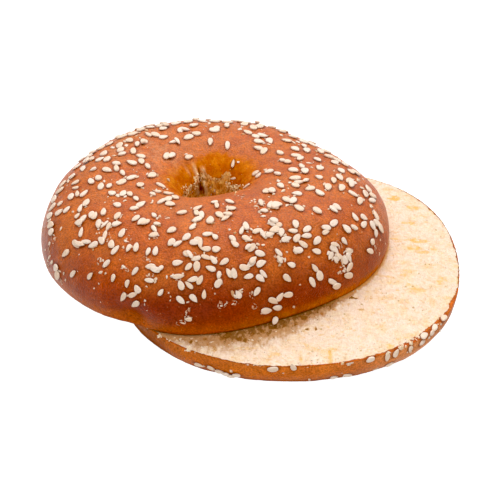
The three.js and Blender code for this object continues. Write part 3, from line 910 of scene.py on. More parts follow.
def lay_seed(x, y, angle, long, wide):
    """A flat seed on the top half whose outline in the view is that oval: place, directions, size."""
    for inward in range(6):         # near the outline the surface may end a little short of the pixel
        k = 0.008 * inward
        got = lay("top", x + k * (215 - x), y + k * (225 - y), angle, long, 0.4)
        if got:
            break
    else:
        return None
    p, along, n, L = got
    to_eye = (EYE - p) / np.linalg.norm(EYE - p)
    e2 = np.cross(n, along)
    one = lambda v: project(p + 0.5 * v) - project(p - 0.5 * v)
    to_view = np.stack([one(along), one(e2)], 1)
    raised = one(n)
    a = math.radians(angle)
    u, v = np.array([math.cos(a), math.sin(a)]), np.array([-math.sin(a), math.cos(a)])
    oval = (long / 2) ** 2 * np.outer(u, u) + (wide / 2) ** 2 * np.outer(v, v) - 0.36 ** 2 * np.outer(raised, raised)
    size, axes = np.linalg.eigh(oval)
    oval = axes @ np.diag(np.maximum(size, 0.8)) @ axes.T
    if n @ to_eye > 0.30:
        back = np.linalg.inv(to_view)
        size, axes = np.linalg.eigh(back @ oval @ back.T)
        L, W = 2 * math.sqrt(size[1]), 2 * math.sqrt(size[0])
        turned = axes[0, 1] * along + axes[1, 1] * e2
        if one(turned) @ u < 0:
            turned = -turned
        along = turned
    else:
        W = 0.62 * L
    L = float(np.clip(L, 2.3, 3.8))
    W = float(np.clip(W, 1.35 if wide > 2.8 else 1.0, min(2.45, 0.80 * L)))
    return p, along, n, L, W


# ---------------------------------------------------------------------- seeds
# x, y, direction of the pointed end, length and width of each seed that shows, in pixels of the view
SEEDS = (
    (214.2, 119.2, 180, 11.5, 3.5), (121.9, 136.1, 158, 12.8, 5.7), (129.5, 139.8, 13, 11.2, 6.3),
    (132.6, 133.3, 348, 12, 7.5), (140.3, 128.4, 338, 11.2, 4.3), (148.2, 134, 210, 9.2, 3.5),
    (150.6, 126.7, 2, 10.7, 5.5), (155.6, 134.3, 9, 11.2, 5.5), (159.1, 125.3, 191, 10.9, 6.4),
    (163.2, 127.8, 142, 8.7, 6.7), (163.3, 136.7, 354, 9.7, 4.2), (165.7, 125.7, 336, 10.6, 7.2),
    (175.9, 122.7, 348, 11.7, 4.5), (180.5, 129.7, 326, 7.8, 5.9), (185.3, 129.9, 0, 8.8, 3.4),
    (188.1, 121, 168, 11.8, 4.3), (188.6, 136.5, 172, 11.7, 6.4), (193.8, 124.5, 338, 10.1, 3.7),
    (196.4, 133.1, 188, 9.9, 4.7), (202.3, 120.5, 190, 12, 4.3), (214.2, 129.6, 2, 11.3, 5),
    (216.8, 127.8, 324, 8.3, 6.3), (226.8, 124.8, 110, 6.8, 5.8), (228.2, 120, 184, 12.2, 3.5),
    (244.7, 123.5, 338, 9.8, 6.4), (247.8, 131.8, 196, 9.8, 4), (253.2, 126.8, 234, 11.4, 6.7),
    (255.6, 136, 191, 8.8, 4.9), (260, 126, 350, 11.1, 3.6), (262.5, 135.3, 8, 11.2, 4.9),
    (282, 130.7, 208, 11, 5.5), (287, 139.8, 196, 12.1, 4.3), (294.1, 135.6, 22, 12, 5.7),
    (88.6, 155.5, 169, 10, 6.7), (90.8, 158.6, 9, 9.4, 5), (92.7, 152.2, 301, 11.2, 5.4),
    (99.5, 158.9, 338, 10.1, 3.6), (101.2, 147.1, 324, 11, 5.1), (103.8, 152.8, 334, 10.2, 5.1),
    (107, 158.7, 324, 12.5, 6.9), (109.5, 143, 316, 12.2, 7.1), (119.3, 144.9, 155, 13.9, 7.2),
    (120.6, 149.2, 323, 13, 7.1), (122.1, 153.3, 168, 8.9, 4.1), (133.1, 150.4, 268, 9.8, 6.5),
    (137.1, 143.4, 94, 11.1, 5.4), (141.2, 155.6, 192, 10.1, 4.3), (143.9, 140.8, 186, 9.3, 5.9),
    (166.4, 155.4, 304, 8, 6.5), (171.8, 155.3, 146, 8.7, 6), (173.6, 141.3, 170, 9.2, 3.4),
    (177.1, 141.4, 48, 8.4, 3.8), (188.8, 156.5, 350, 8.9, 5.1), (210.3, 141.3, 94, 9.2, 5.8),
    (227.5, 144.9, 92, 9.1, 5.5), (258.6, 147.6, 186, 9.9, 4.3), (259, 140.9, 10, 12.5, 5.1),
    (263.8, 150.4, 146, 8.8, 5.7), (269.4, 140.6, 50, 11.3, 7.1), (279.9, 152.3, 195, 7.8, 4.3),
    (295.4, 148.3, 11, 12.5, 5.5), (296, 155.1, 5, 11.4, 4.1), (300.3, 157.8, 150, 9.2, 5.5),
    (303.9, 141, 22, 11.5, 6.7), (304.6, 145.4, 50, 7.7, 4.6), (307.1, 149.8, 26, 8.5, 6.1),
    (313.1, 143.4, 30, 11.8, 5.5), (317.7, 159, 46, 6.9, 6.2), (320.8, 150.8, 61, 11.8, 6.9),
    (326.1, 150.7, 23, 11, 7.3), (329.6, 156.1, 194, 11.2, 7.3), (337.8, 159.8, 38, 11.1, 6.2),
    (71.5, 176.1, 164, 12.8, 6.5), (76.5, 166.3, 142, 10.9, 6.1), (82.2, 160.1, 144, 8.4, 6.4),
    (82.7, 168.2, 140, 6.8, 4.2), (86.8, 161, 311, 9, 3.7), (93.2, 168.8, 158, 7.3, 3.2),
    (98.4, 177.5, 170, 7.4, 5.9), (107, 169.5, 14, 11.5, 5.1), (116.3, 167.8, 258, 7, 5.9),
    (116.4, 162.9, 9, 9.3, 4.4), (122.6, 172.6, 42, 6.5, 4.9), (131.4, 177.2, 346, 12.5, 4.7),
    (131.9, 162.1, 195, 12, 5.1), (141.4, 160.8, 21, 7, 5.8), (147.7, 165.6, 42, 6.9, 4.7),
    (152.2, 174.7, 163, 11.5, 6.7), (255.4, 172.8, 327, 8.4, 3.8), (258.2, 175.0, 322, 7.6, 3.2), (233.0, 163.6, 283, 8.8, 3.2), (269.2, 170.8, 166, 9.8, 3.9),
    (277.4, 173.1, 192, 7.8, 3.8), (282.9, 160, 10, 8.2, 3.6), (287.7, 161.7, 3, 7.8, 3.9),
    (293.4, 169.3, 11, 12.5, 5.3), (295.5, 177.6, 180, 12.5, 4.7), (304.9, 170.2, 32, 9.3, 7.1),
    (319.1, 176.7, 193, 8.2, 4), (320.1, 167.2, 206, 10, 5.6), (335.4, 161.8, 8, 10.2, 4.9),
    (339.9, 176.9, 28, 9.8, 5.1), (341.4, 170.1, 24, 11.7, 5.4), (345.1, 163.8, 44, 11.2, 4.9),
    (351.6, 171.2, 52, 9.4, 7.2), (356.2, 172.5, 38, 11.2, 4.9), (53.6, 198.8, 284, 11.2, 4.7),
    (59.5, 190.2, 144, 11.7, 4.9), (62.3, 183.7, 129, 9.8, 4.2), (70.6, 196, 102, 10.2, 6.7),
    (75.1, 182.1, 152, 9.2, 3.7), (75.4, 187.5, 163, 6.5, 3.3), (77.1, 193.2, 280, 6.4, 4.2),
    (83.8, 193.2, 320, 11.5, 4.3), (90.8, 180.8, 238, 11.1, 6.6), (100.8, 185.9, 290, 12.8, 6.5),
    (109.2, 185.3, 333, 6.5, 4.8), (111.8, 192.6, 178, 8.7, 5.2), (122, 181.4, 156, 11.8, 5.5),
    (123, 192.9, 308, 11.8, 6.5), (129.9, 193.5, 18, 6.9, 5.2), (136.2, 198, 28, 6.5, 4.7),
    (140.2, 184.3, 180, 10.8, 6.5), (152.9, 193.5, 16, 6.9, 3.8), (158, 191, 192, 7.5, 4.1),
    (161, 185, 25, 11.2, 3.5), (168.2, 198.5, 350, 8.8, 5.1), (168.6, 192.8, 358, 11.2, 4.3),
    (175.2, 196.8, 253, 10.7, 6.1), (247.2, 186.8, 332, 7.7, 4.2), (266.1, 190.2, 306, 9, 7.4),
    (271.9, 190.3, 345, 10.4, 7.7), (280.6, 185, 26, 8.9, 5.2), (286.6, 199, 18, 10.8, 5.9),
    (295.4, 184.7, 28, 11.2, 5.9), (297.2, 192.9, 186, 11, 4.6), (299.1, 182.2, 348, 10.8, 4.1),
    (305.4, 180.4, 158, 7.3, 3.9), (310.3, 187.8, 176, 10.4, 4.8), (319.4, 192.2, 208, 10.7, 5.5),
    (328.1, 186.4, 90, 9.9, 7.9), (333.9, 180, 59, 6.8, 6.1), (341.9, 187.3, 120, 10.6, 7.4),
    (350, 180.4, 198, 11.2, 7.3), (351.2, 183.9, 77, 10.1, 6.4), (353.3, 193.2, 31, 12, 3.9),
    (365.8, 193.4, 72, 11.5, 6.1), (368.6, 188.6, 239, 11.5, 3.3), (372.9, 195, 208, 11.5, 5.4),
    (48.7, 215.5, 129, 11.2, 7), (51.8, 206.8, 134, 11.5, 6.5), (58.5, 212.1, 319, 10.2, 4.3),
    (59.6, 203.3, 315, 7.4, 3.2), (66.2, 209.4, 316, 9.6, 4.1), (76.9, 215.4, 311, 6, 3.4),
    (79.9, 208, 294, 11.1, 4.3), (82.7, 218.2, 314, 9.6, 5.1), (85.9, 202.3, 306, 12, 5.9),
    (91.2, 214.2, 120, 8.1, 5.6), (94.5, 215.9, 311, 8.9, 5.5), (103.5, 211.4, 292, 8.1, 5.7),
    (117.2, 215.4, 138, 9.4, 5.7), (117.4, 204.3, 187, 8.5, 5.1), (134.2, 207.8, 353, 9.8, 4.3),
    (135.9, 217.7, 152, 9.8, 5), (140.7, 203.7, 340, 11.4, 5.3), (154, 214.8, 218, 6.2, 4.3),
    (161.7, 201.1, 164, 9.8, 4), (169.8, 203.3, 8, 11.2, 5.3), (182.1, 212, 171, 10.9, 4.4),
    (196.3, 211.8, 251, 10.6, 5.8), (197.1, 218.9, 162, 11.4, 5.4), (197.6, 207.9, 334, 11.4, 4.5),
    (201.5, 214.3, 78, 9.5, 6.3), (210.3, 219.6, 349, 11.4, 7.9), (214.6, 201.5, 169, 7.8, 3.6),
    (216.7, 204.7, 256, 7.9, 4), (219.8, 214.2, 24, 10.4, 5.9), (225.7, 217.2, 147, 11, 4),
    (227.7, 214.2, 179, 9.9, 4.5), (229.5, 200.8, 17, 11.2, 3.9), (230.6, 207.7, 185, 11.1, 4.6),
    (260.9, 202, 62, 7.6, 5.4), (264, 210.2, 184, 9.1, 4.1), (270.6, 204.2, 303, 8.8, 6.5),
    (277.7, 203.1, 196, 10.2, 4.5), (293.1, 200.4, 146, 11.2, 6.2), (299.3, 207.5, 206, 11.3, 5.7),
    (317.2, 210, 29, 10.8, 5.5), (333.6, 208.7, 38, 10.8, 4.7), (337.1, 206.4, 31, 10.4, 5.2),
    (355.3, 216.7, 233, 10.2, 4.5), (360.1, 200.5, 100, 10.5, 6.6), (364.1, 217, 37, 9.1, 4.9),
    (372.4, 200.1, 186, 11.7, 5.3), (376.5, 215.6, 248, 11.4, 4), (50.4, 231.6, 286, 8.2, 5.7), (50.5, 224.7, 344, 11.5, 7.7),
    (79, 222.7, 150, 8.9, 6.1), (80.7, 232.1, 285, 11.1, 4.2), (98.4, 223.4, 104, 11.9, 6),
    (104.6, 235.1, 103, 11.2, 4.1), (104.7, 223.7, 139, 10.8, 3.3), (108.3, 226.4, 122, 9.5, 4.3),
    (116.4, 223.3, 348, 10.6, 5.3), (121.8, 232.6, 308, 10.2, 5.9), (141.5, 221, 168, 11.1, 7.3),
    (145.6, 222.3, 156, 10.6, 4.4), (153.7, 234.3, 170, 10.4, 5.5), (154.1, 228.6, 54, 9.9, 4.7),
    (157.1, 223.4, 2, 8, 3.6), (171.5, 229.5, 163, 10.3, 6), (186.4, 236.7, 145, 10.7, 6.2),
    (192.8, 226.2, 320, 9.1, 4.9), (197.2, 238.8, 351, 7.7, 4.8), (207.4, 233.6, 358, 11.3, 4.9),
    (214.9, 236.2, 216, 7.9, 5.4), (232.9, 238.2, 40, 9.4, 5.5), (241.8, 229.8, 292, 9.2, 3.7),
    (245.9, 226, 246, 9.4, 6.6), (246.7, 238.1, 24, 11, 5.6), (257, 230.6, 340, 10.6, 5.2),
    (262.9, 233.8, 59, 10.5, 4.5), (269.6, 234, 348, 9.6, 5.7), (271.8, 223.2, 40, 10.8, 4.9),
    (273.7, 220.9, 190, 9.7, 5.9), (274.8, 229.8, 166, 11.7, 7.4), (278.7, 224.8, 178, 7.8, 5.5),
    (281.3, 232.2, 88, 9.2, 7), (286.2, 238.8, 346, 11.2, 6.2), (293.4, 230.7, 185, 10.4, 4.9),
    (295.9, 223.6, 70, 9.1, 7.1), (296.9, 237.8, 304, 9.8, 7.1), (306.6, 235.5, 177, 11.3, 5.7),
    (307.3, 228.8, 150, 9.8, 6.7), (325.8, 232.1, 346, 8.1, 5.2), (326.4, 227.6, 194, 10.1, 6),
    (334, 222.8, 326, 9.1, 7.1), (347.1, 228.3, 229, 11.5, 7.1), (354.6, 227.3, 214, 8.6, 4.4),
    (364.1, 224.2, 298, 8.5, 6.4), (372.9, 225.3, 64, 11, 4.6), (376.5, 233.2, 83, 8.7, 4.1),
    (377.3, 222.8, 30, 11.6, 6.3), (380.6, 228.6, 62, 10.8, 4.8),
    (65.4, 253.1, 129, 10.1, 5.1), (75.5, 243.6, 62, 9.2, 6.4),
    (79.9, 244.5, 2, 10.2, 5.6), (86, 241.7, 180, 11.3, 4.6), (93.2, 244.6, 154, 11.4, 5.7),
    (101.7, 240.4, 239, 8, 6.7), (111, 244, 278, 9, 6.8), (114.8, 249.9, 312, 12, 5.3),
    (128.6, 247.6, 120, 9.1, 4.9), (135.9, 247.1, 284, 9.9, 5.9), (148.1, 251.2, 116, 8.8, 4.9),
    (155.3, 250.7, 286, 9.6, 6), (171.4, 241.8, 141, 9.7, 6.4), (177.3, 243.1, 334, 10.6, 4.7),
    (185.8, 253.7, 48, 7.2, 5.6), (189.6, 254.6, 52, 9.8, 4.7), (194.5, 242.3, 2, 10.6, 6),
    (196.2, 258.3, 166, 10.3, 5.5), (199.9, 242.9, 88, 11, 5.7), (205.8, 256.8, 19, 11.2, 3.9),
    (205.8, 248.7, 181, 11.1, 5.8), (213.6, 259.9, 230, 10.3, 6.2), (216.1, 248.9, 354, 9.1, 6.9),
    (234.7, 243.7, 214, 10.1, 5.5), (251.8, 247.2, 136, 9.9, 7.3), (259.9, 253.3, 16, 11.2, 6.7),
    (278.9, 252.5, 228, 10.2, 4.9), (280, 259.5, 237, 9.4, 4.7), (298.4, 250.1, 178, 10.6, 7.3),
    (303.2, 244, 214, 11.8, 5.7), (316.8, 251.1, 201, 9.5, 6.1), (317.3, 240.4, 126, 9.9, 7.3),
    (334.5, 249, 44, 11.2, 6.5), (334.7, 244.5, 15, 9.7, 4.8), (344.6, 241.1, 53, 9.2, 4.5),
    (349, 257.4, 64, 11, 4.9), (370.5, 250.9, 209, 7.7, 5.8), (372.9, 241.8, 269, 7, 4.4),
    (55.3, 267.7, 85, 7.9, 5.3),
    (56.7, 275.6, 77, 10.8, 5.2), (72.3, 273.8, 300, 8.3, 4.6), (89.6, 275.8, 303, 8.5, 4.5),
    (106.3, 263.4, 130, 10.3, 4.9), (112.9, 277.8, 105, 8.8, 4.5), (134.9, 270.9, 129, 10.2, 4.9),
    (150.7, 266.3, 179, 11.1, 6.5), (155.5, 269.7, 192, 10.3, 6.5), (160.2, 268.6, 140, 8.6, 4.6),
    (177.3, 262.5, 348, 11.2, 6.4), (178, 276.3, 352, 12.5, 5.7), (188.6, 266.6, 134, 9.8, 5.8),
    (192.8, 279.3, 164, 11.4, 6), (196.8, 266, 94, 10.8, 7.5), (210.9, 268.4, 200, 11.2, 6.3),
    (219, 274.8, 100, 8.6, 5.3), (224.3, 261.6, 148, 10.8, 6.3), (229.4, 273.1, 240, 11.3, 6.1),
    (233.3, 273.7, 256, 11.1, 7.1), (244.4, 267.4, 12, 11.2, 7.1), (248.8, 276.2, 166, 10.1, 5.9),
    (251.3, 263.3, 140, 11.2, 6.3), (252.4, 260.9, 313, 10.2, 6.2), (260.6, 278, 39, 10.8, 6.6),
    (260.9, 263.1, 334, 10.9, 7.4), (263.4, 273.7, 49, 10.6, 4.7), (287.2, 278, 43, 10.8, 6.5),
    (291.7, 264.7, 203, 8.8, 6.1), (315.1, 268.1, 232, 9.8, 5.1), (319.9, 275.9, 264, 10.8, 7.5),
    (349, 275.5, 172, 9.8, 7.2), (349.9, 267, 120, 11.5, 5.3), (123.1, 297.2, 114, 9.8, 5.5),
    (126.8, 283.4, 103, 8.6, 4.5), (132.5, 295.1, 339, 9.5, 5.6), (137.1, 289.4, 242, 9.7, 6.9),
    (149.4, 280.3, 188, 10.2, 5.4), (160.6, 292.5, 306, 8.3, 4.6), (181, 285.4, 250, 10.8, 7),
    (189.2, 285.3, 222, 10.8, 4.5), (193.6, 298.2, 46, 10.9, 6.4), (199.8, 280.2, 299, 10.8, 6.1),
    (204, 294.4, 274, 10, 4.2), (218.1, 283.3, 300, 10.9, 7.2), (257.1, 291.5, 122, 10.8, 5.9),
    (280.1, 297.4, 308, 10.8, 5.5), (288.4, 295, 170, 10.7, 6.3), (312.5, 281.9, 67, 11.5, 5.9),
    (332.6, 282, 21, 9.4, 5.9), (336.6, 286, 161, 9.3, 6.8), (135.2, 304.5, 149, 11.2, 6.4),
    (180.3, 300, 43, 10.9, 6.4), (188.3, 319.5, 184, 7.2, 3.5), (266.3, 311.1, 346, 11.3, 6.8),
    (273.4, 300.8, 23, 11.3, 6.7), (277.6, 308, 172, 9.6, 6.1),
)
SIDE_SEEDS = (  # on the crust of the bottom half
    (198.5, 365.5, 20, 10), (210.5, 368.5, 25, 8), (219, 372, 12, 9), (225.5, 374, 15, 8), (231, 375.5, 10, 8),
    (236.5, 375.5, 10, 8), (273, 369.5, 174, 11.5), (293, 367.5, 60, 8), (347.5, 375.8, 176, 9), (334, 377.8, 176, 5),
    (370.8, 359.6, 152, 9.5), (387.7, 357.4, 100, 8.5, 1.5), (396.2, 353.4, 122, 9.5), (410.8, 348.8, 120, 6, 1.3),
    (423.8, 335.2, 130, 9.0), (434.6, 327.2, 112, 10.5, 1.7), (444.6, 318.6, 115, 11, 2.0), (432.3, 333.2, 118, 6, 1.3),
    (422.2, 343.2, 130, 5, 1.2), (389.8, 364.8, 158, 9), (381, 368.4, 160, 6.5, 1.3))
SPLIT_SEEDS = (  # ragged and broken seeds, as large as whole ones
    (275.5, 205.5, 171, 11, 7), (238.5, 294.5, 239, 11, 7.4), (331, 255.5, 112, 10.5, 6),
    (336.5, 258.8, 200, 8.5, 6.8), (338.2, 256.2, 226, 11.2, 5.6), (344.8, 260.2, 248, 11, 6.8),
    (349.5, 251, 186, 9.2, 4.6), (301.8, 165.5, 212, 7.5, 4.6), (248, 247, 139, 7.5, 3.5),
)
rng = np.random.default_rng(7)


def frames(items):
    return (np.array([i[k] for i in items]) for k in range(len(items[0])))


def teardrops(items, rings, around, lumpy, cup=0.0, number=0, flat_top=(0.8, 0.72, 0.10)):
    """Closed seed shapes.  Each item is centre, direction, normal, length, width, thickness."""
    c, a, n, L, W, T = frames(items)
    count = len(items)
    b = np.cross(n, a)
    s = (1 - np.cos(np.arange(1, rings + 1) / (rings + 1) * PI)) / 2
    r = np.random.default_rng(100 + number)
    tip = r.uniform(0.60, 0.95, count)[:, None]
    f = s[None, :] ** 0.5 * (1 - s[None, :]) ** tip
    f = f / f.max(1, keepdims=True)
    even = flat_top[0]
    phi = np.arange(around) / around * 2 * PI
    cy, cz = np.cos(phi), np.sin(phi)
    cz = np.sign(cz) * np.abs(cz) ** flat_top[1]
    bend = r.normal(0, 0.05, count)[:, None]
    flat = r.uniform(-0.06, 0.06, count)[:, None]
    x = (s[None, :] - 0.47) * L[:, None]
    rough = 1 + lumpy * r.normal(0, 1, (count, rings, around)) * np.array(1.0)
    rough = (rough + np.roll(rough, 1, 2)) / 2 if lumpy < 0.2 else rough
    y = (W[:, None] / 2 * f)[..., None] * cy[None, None, :] * rough + (bend * W[:, None] * (4 * (s[None, :] - 0.5) ** 2))[..., None]
    # the flat faces sink a little between the raised edges
    z = (T[:, None] / 2 * f ** even)[..., None] * cz[None, None, :] * (1 - flat_top[2] * (1 - np.abs(cy)) ** 2)[None, None, :] * rough
    z = z + (cup * T[:, None] * (f ** 2 - 0.5))[..., None] * (1 - 0.6 * cy ** 2)[None, None, :]
    z = z + (flat * T[:, None] * (s[None, :] - 0.5) * 2)[..., None]
    X = np.broadcast_to(x[..., None], y.shape)
    body = c[:, None, None, :] + X[..., None] * a[:, None, None, :] + y[..., None] * b[:, None, None, :] + z[..., None] * n[:, None, None, :]
    blunt = c - 0.47 * L[:, None] * a
    point = c + 0.53 * L[:, None] * a
    verts = np.concatenate([blunt[:, None], body.reshape(count, -1, 3), point[:, None]], 1)
    per = verts.shape[1]
    i, j = np.arange(rings - 1)[:, None], np.arange(around)[None, :]
    at = lambda ri, ji: 1 + ri * around + ji % around
    quad = np.stack(np.broadcast_arrays(at(i, j), at(i, j + 1), at(i + 1, j + 1), at(i + 1, j)), -1).reshape(-1, 4)
    jj = np.arange(around)
    tri0 = np.stack([np.zeros(around, int), at(0, jj + 1), at(0, jj)], -1)
    tri1 = np.stack([np.full(around, per - 1), at(rings - 1, jj), at(rings - 1, jj + 1)], -1)
    base = (np.arange(count) * per)[:, None, None]
    quads = (quad[None] + base).reshape(-1, 4)
    tris = (np.concatenate([tri0, tri1])[None] + base).reshape(-1, 3)
    # map: one tile of a square sheet for each seed
    side = int(math.ceil(math.sqrt(count)))
    tile = np.arange(count)
    ox, oy = (tile % side) / side, (tile // side) / side
    uq = np.stack(np.broadcast_arrays(j / around, (j + 1) / around, (j + 1) / around, j / around), -1)
    vq = np.stack(np.broadcast_arrays(i + 1.0, i + 1.0, i + 2.0, i + 2.0), -1) / (rings + 1)
    uq, vq = (np.broadcast_to(q, (rings - 1, around, 4)).reshape(-1) for q in (uq, vq))
    ut = np.concatenate([np.stack([(jj + 0.5), jj + 1, jj], -1), np.stack([jj + 0.5, jj, jj + 1], -1)]).reshape(-1) / around
    vt = np.concatenate([np.tile([0.0, 1.0, 1.0], (around, 1)), np.tile([rings + 1.0, rings, rings], (around, 1))]).reshape(-1) / (rings + 1)
    shrink = lambda q: 0.04 + 0.92 * q
    uvq = np.stack([(ox[:, None] + shrink(uq)[None] / side), (oy[:, None] + shrink(vq)[None] / side)], -1).reshape(-1, 2)
    uvt = np.stack([(ox[:, None] + shrink(ut)[None] / side), (oy[:, None] + shrink(vt)[None] / side)], -1).reshape(-1, 2)
    uv = np.concatenate([uvq, uvt])
    along = np.concatenate([np.zeros((count, 1)), np.broadcast_to(np.repeat(s, around)[None], (count, rings * around)), np.ones((count, 1))], 1)
    tone = np.broadcast_to(r.uniform(0, 1, count)[:, None], along.shape)
    edge = np.concatenate([np.zeros((count, 1)), np.broadcast_to(np.tile(np.abs(cy) ** 4, rings)[None], (count, rings * around)), np.zeros((count, 1))], 1)
    return verts.reshape(-1, 3), quads, tris, uv, {"along": along.reshape(-1), "tone": tone.reshape(-1), "edge": edge.reshape(-1)}


def jagged(verts, items, amount, seed):
    """The same shapes with their points pushed in and out, as torn bits are."""
    r = np.random.default_rng(seed)
    c = np.array([it[0] for it in items])
    v = verts.reshape(len(items), -1, 3)
    push = 1 + amount * np.clip(r.normal(0, 1, v.shape[:2]), -1.6, 1.9)
    return (c[:, None] + (v - c[:, None]) * push[..., None]).reshape(-1, 3)


def spread_out(items):
    """Things that overlap lean on each other: the later one is lifted and tilted."""
    out = []
    for k, (c, a, n, L, W, T) in enumerate(items):
        raise_by, lean = 0.0, np.zeros(3)
        for c2, a2, n2, L2, W2, T2 in out:
            d = c - c2
            if abs(d[0]) > 3 or abs(d[1]) > 3 or d @ d > 9:
                continue
            flat = d - n * (d @ n)
            # how far the two ellipses reach towards each other
            reach = 0.0
            size = np.linalg.norm(flat) + 1e-6
            u = flat / size
            for aa, nn, ll, ww in ((a, n, L, W), (a2, n2, L2, W2)):
                ca = u @ aa
                reach += 1 / math.sqrt((ca / (0.5 * ll)) ** 2 + ((1 - min(1, ca * ca)) / (0.5 * ww) ** 2))
            deep = 1 - size / reach
            if deep > 0.06:
                raise_by = max(raise_by, min(1.0, 1.9 * (deep - 0.06)) * 0.85 * (T + T2) / 2)
                lean = lean + u * min(0.35, 0.9 * deep)
        if raise_by > 0:
            n = n + lean * 0.55
            n = n / np.linalg.norm(n)
            a = a - n * (a @ n)
            a = a / np.linalg.norm(a)
            c = c + n * raise_by
        out.append((c, a, n, L, W, T))
    return out


def seed_item(p, along, n, L, W=None):
    either_way = rng.random() < 0.5
    size = min(2.15, max(1.45, L * rng.normal(0.60, 0.045)))
    T = rng.uniform(0.74, 0.92)
    tilt = rng.normal(0, 0.07 if W is None else 0.04, 2)
    n2 = n + tilt[0] * along + tilt[1] * np.cross(n, along)
    n2 = n2 / np.linalg.norm(n2)
    a = along - n2 * (along @ n2)
    a = a / np.linalg.norm(a)
    if W is None:
        W, a = size, a if either_way else -a
    return p + n * (0.36 * T), a, n2, L, W, T


items = []
for x, y, angle, long, wide in SEEDS:
    got = lay_seed(x, y, angle, long - 0.2, wide - 0.5)
    if got:
        items.append(seed_item(*got))
for x, y, angle, long, wide in SPLIT_SEEDS:      # what is left whole of a broken one
    got = lay_seed(x, y, angle, 0.85 * long, 0.8 * wide)
    if got:
        items.append(seed_item(*got))
shown_top = len(items)
for x, y, angle, px, *wide in SIDE_SEEDS:
    got = lay("bottom", x, y, angle, px, 0.3)
    if got:
        p, along, n, L = got
        items.append(seed_item(p - n * 0.12, along, n, float(np.clip(L, 1.9 if wide else 2.5, 3.4)), *wide))
# one leans on the rim of the top half, with its lower end on the cut face
way_in = ray(275.2, 320.6)
p = EYE + way_in * ((UPPER_AT[2] + 1.05 - EYE[2]) / way_in[2])
n = 0.25 * np.array([0, 0, 1.0]) - way_in
n = n / np.linalg.norm(n)
along = RIGHT * math.cos(math.radians(112)) - UP * math.sin(math.radians(112))
along = along - n * (along @ n)
items.append(seed_item(p, along / np.linalg.norm(along), n, 2.6, 1.8))


def faces_of(obj):
    mesh = obj.data
    k = len(mesh.polygons)
    c, n, a = np.zeros(k * 3), np.zeros(k * 3), np.zeros(k)
    mesh.polygons.foreach_get("center", c)
    mesh.polygons.foreach_get("normal", n)
    mesh.polygons.foreach_get("area", a)
    return c.reshape(-1, 3) / MM, n.reshape(-1, 3), a / MM ** 2


def scatter(centres, normals, areas, allowed, count, rng, taken, least, cluster):
    """Random places on the allowed faces that the view doesn't reach, some next to others."""
    weight = areas * allowed
    picks = rng.choice(len(areas), size=count * 6, p=weight / weight.sum())
    placed = []
    for k in picks:
        if len(placed) >= count:
            break
        p, n = centres[k], normals[k]
        if placed and rng.random() < cluster:
            q = placed[rng.integers(len(placed))]
            off = rng.normal(0, 1, 3)
            off -= q[1] * (off @ q[1])
            off = off / np.linalg.norm(off) * rng.uniform(1.5, 2.3)
            j = np.argmin(((centres - (q[0] + off)) ** 2).sum(1) + 1e3 * (allowed <= 0))
            p, n = centres[j], normals[j]
        if taken and min(((np.array(taken) - p) ** 2).sum(1)) < least ** 2:
            continue
        placed.append((p, n))
        taken.append(p)
    return placed


def hidden_share(centres, normals, allowed):
    """1 where a face is turned away from the camera or hidden, by ray."""
    to_eye = EYE - centres
    facing = (normals * to_eye).sum(1) / np.linalg.norm(to_eye, axis=1)
    out = (facing < 0.02).astype(float)
    test = np.nonzero((facing >= 0.02) & (allowed > 0))[0][::1]
    step = max(1, len(test) // 12000)
    seen_cache = {}
    for k in test:
        key = tuple((centres[k] / 2.0).astype(int))
        if key not in seen_cache:
            seen_cache[key] = seen_from_eye(centres[k] + normals[k] * 0.3)
        out[k] = 0.0 if seen_cache[key] else 1.0
    return out


c_top, n_top, a_top = faces_of(top)
above = c_top[:, 2] - UPPER_AT[2]
from_axis = np.hypot(c_top[:, 0] - UPPER_AT[0], c_top[:, 1] - UPPER_AT[1])
crusty = ((above > 3.5) & (from_axis > 13.5) & (n_top[:, 2] > -0.5) & ((from_axis > 20) | (above > 17.5))).astype(float)
crusty *= np.where(from_axis > 30, smooth((above - 3.0) / 5), 1.0) * np.where(from_axis < 20, 0.35, 1.0)
away = hidden_share(c_top, n_top, crusty)
seen_area = (a_top * crusty * (1 - away)).sum()
hidden_area = (a_top * crusty * away).sum()
density = shown_top / seen_area
taken = [i[0] for i in items]
# the narrow band seen edge-on is thin in the view, so it is filled like the far side
edge_on = ((EYE - c_top) * n_top).sum(1) / np.linalg.norm(EYE - c_top, axis=1)
sideways = np.abs(c_top[:, 0] - UPPER_AT[0]) > 34          # bare along the two sides, as far as they show
band = crusty * (1 - away) * (edge_on < 0.15) * (above > 5) * ~sideways
away = away * ~(sideways & (edge_on > -0.20) & (from_axis > 40))
far_side = scatter(c_top, n_top, a_top, band, int(1.0 * density * (a_top * band).sum()), rng, taken, 2.3, 0.2)
far_side += scatter(c_top, n_top, a_top, crusty * away, int(0.92 * density * hidden_area), rng, taken, 1.25, 0.35)
for p, n in far_side:
    d = rng.normal(0, 1, 3)
    d -= n * (d @ n)
    d /= np.linalg.norm(d)
    items.append(seed_item(p, d, n, float(np.clip(rng.normal(3.0, 0.2), 2.5, 3.45))))
print("seeds shown on top", shown_top, "density per cm2", round(100 * density, 2), "hidden area cm2", round(hidden_area / 100, 1))

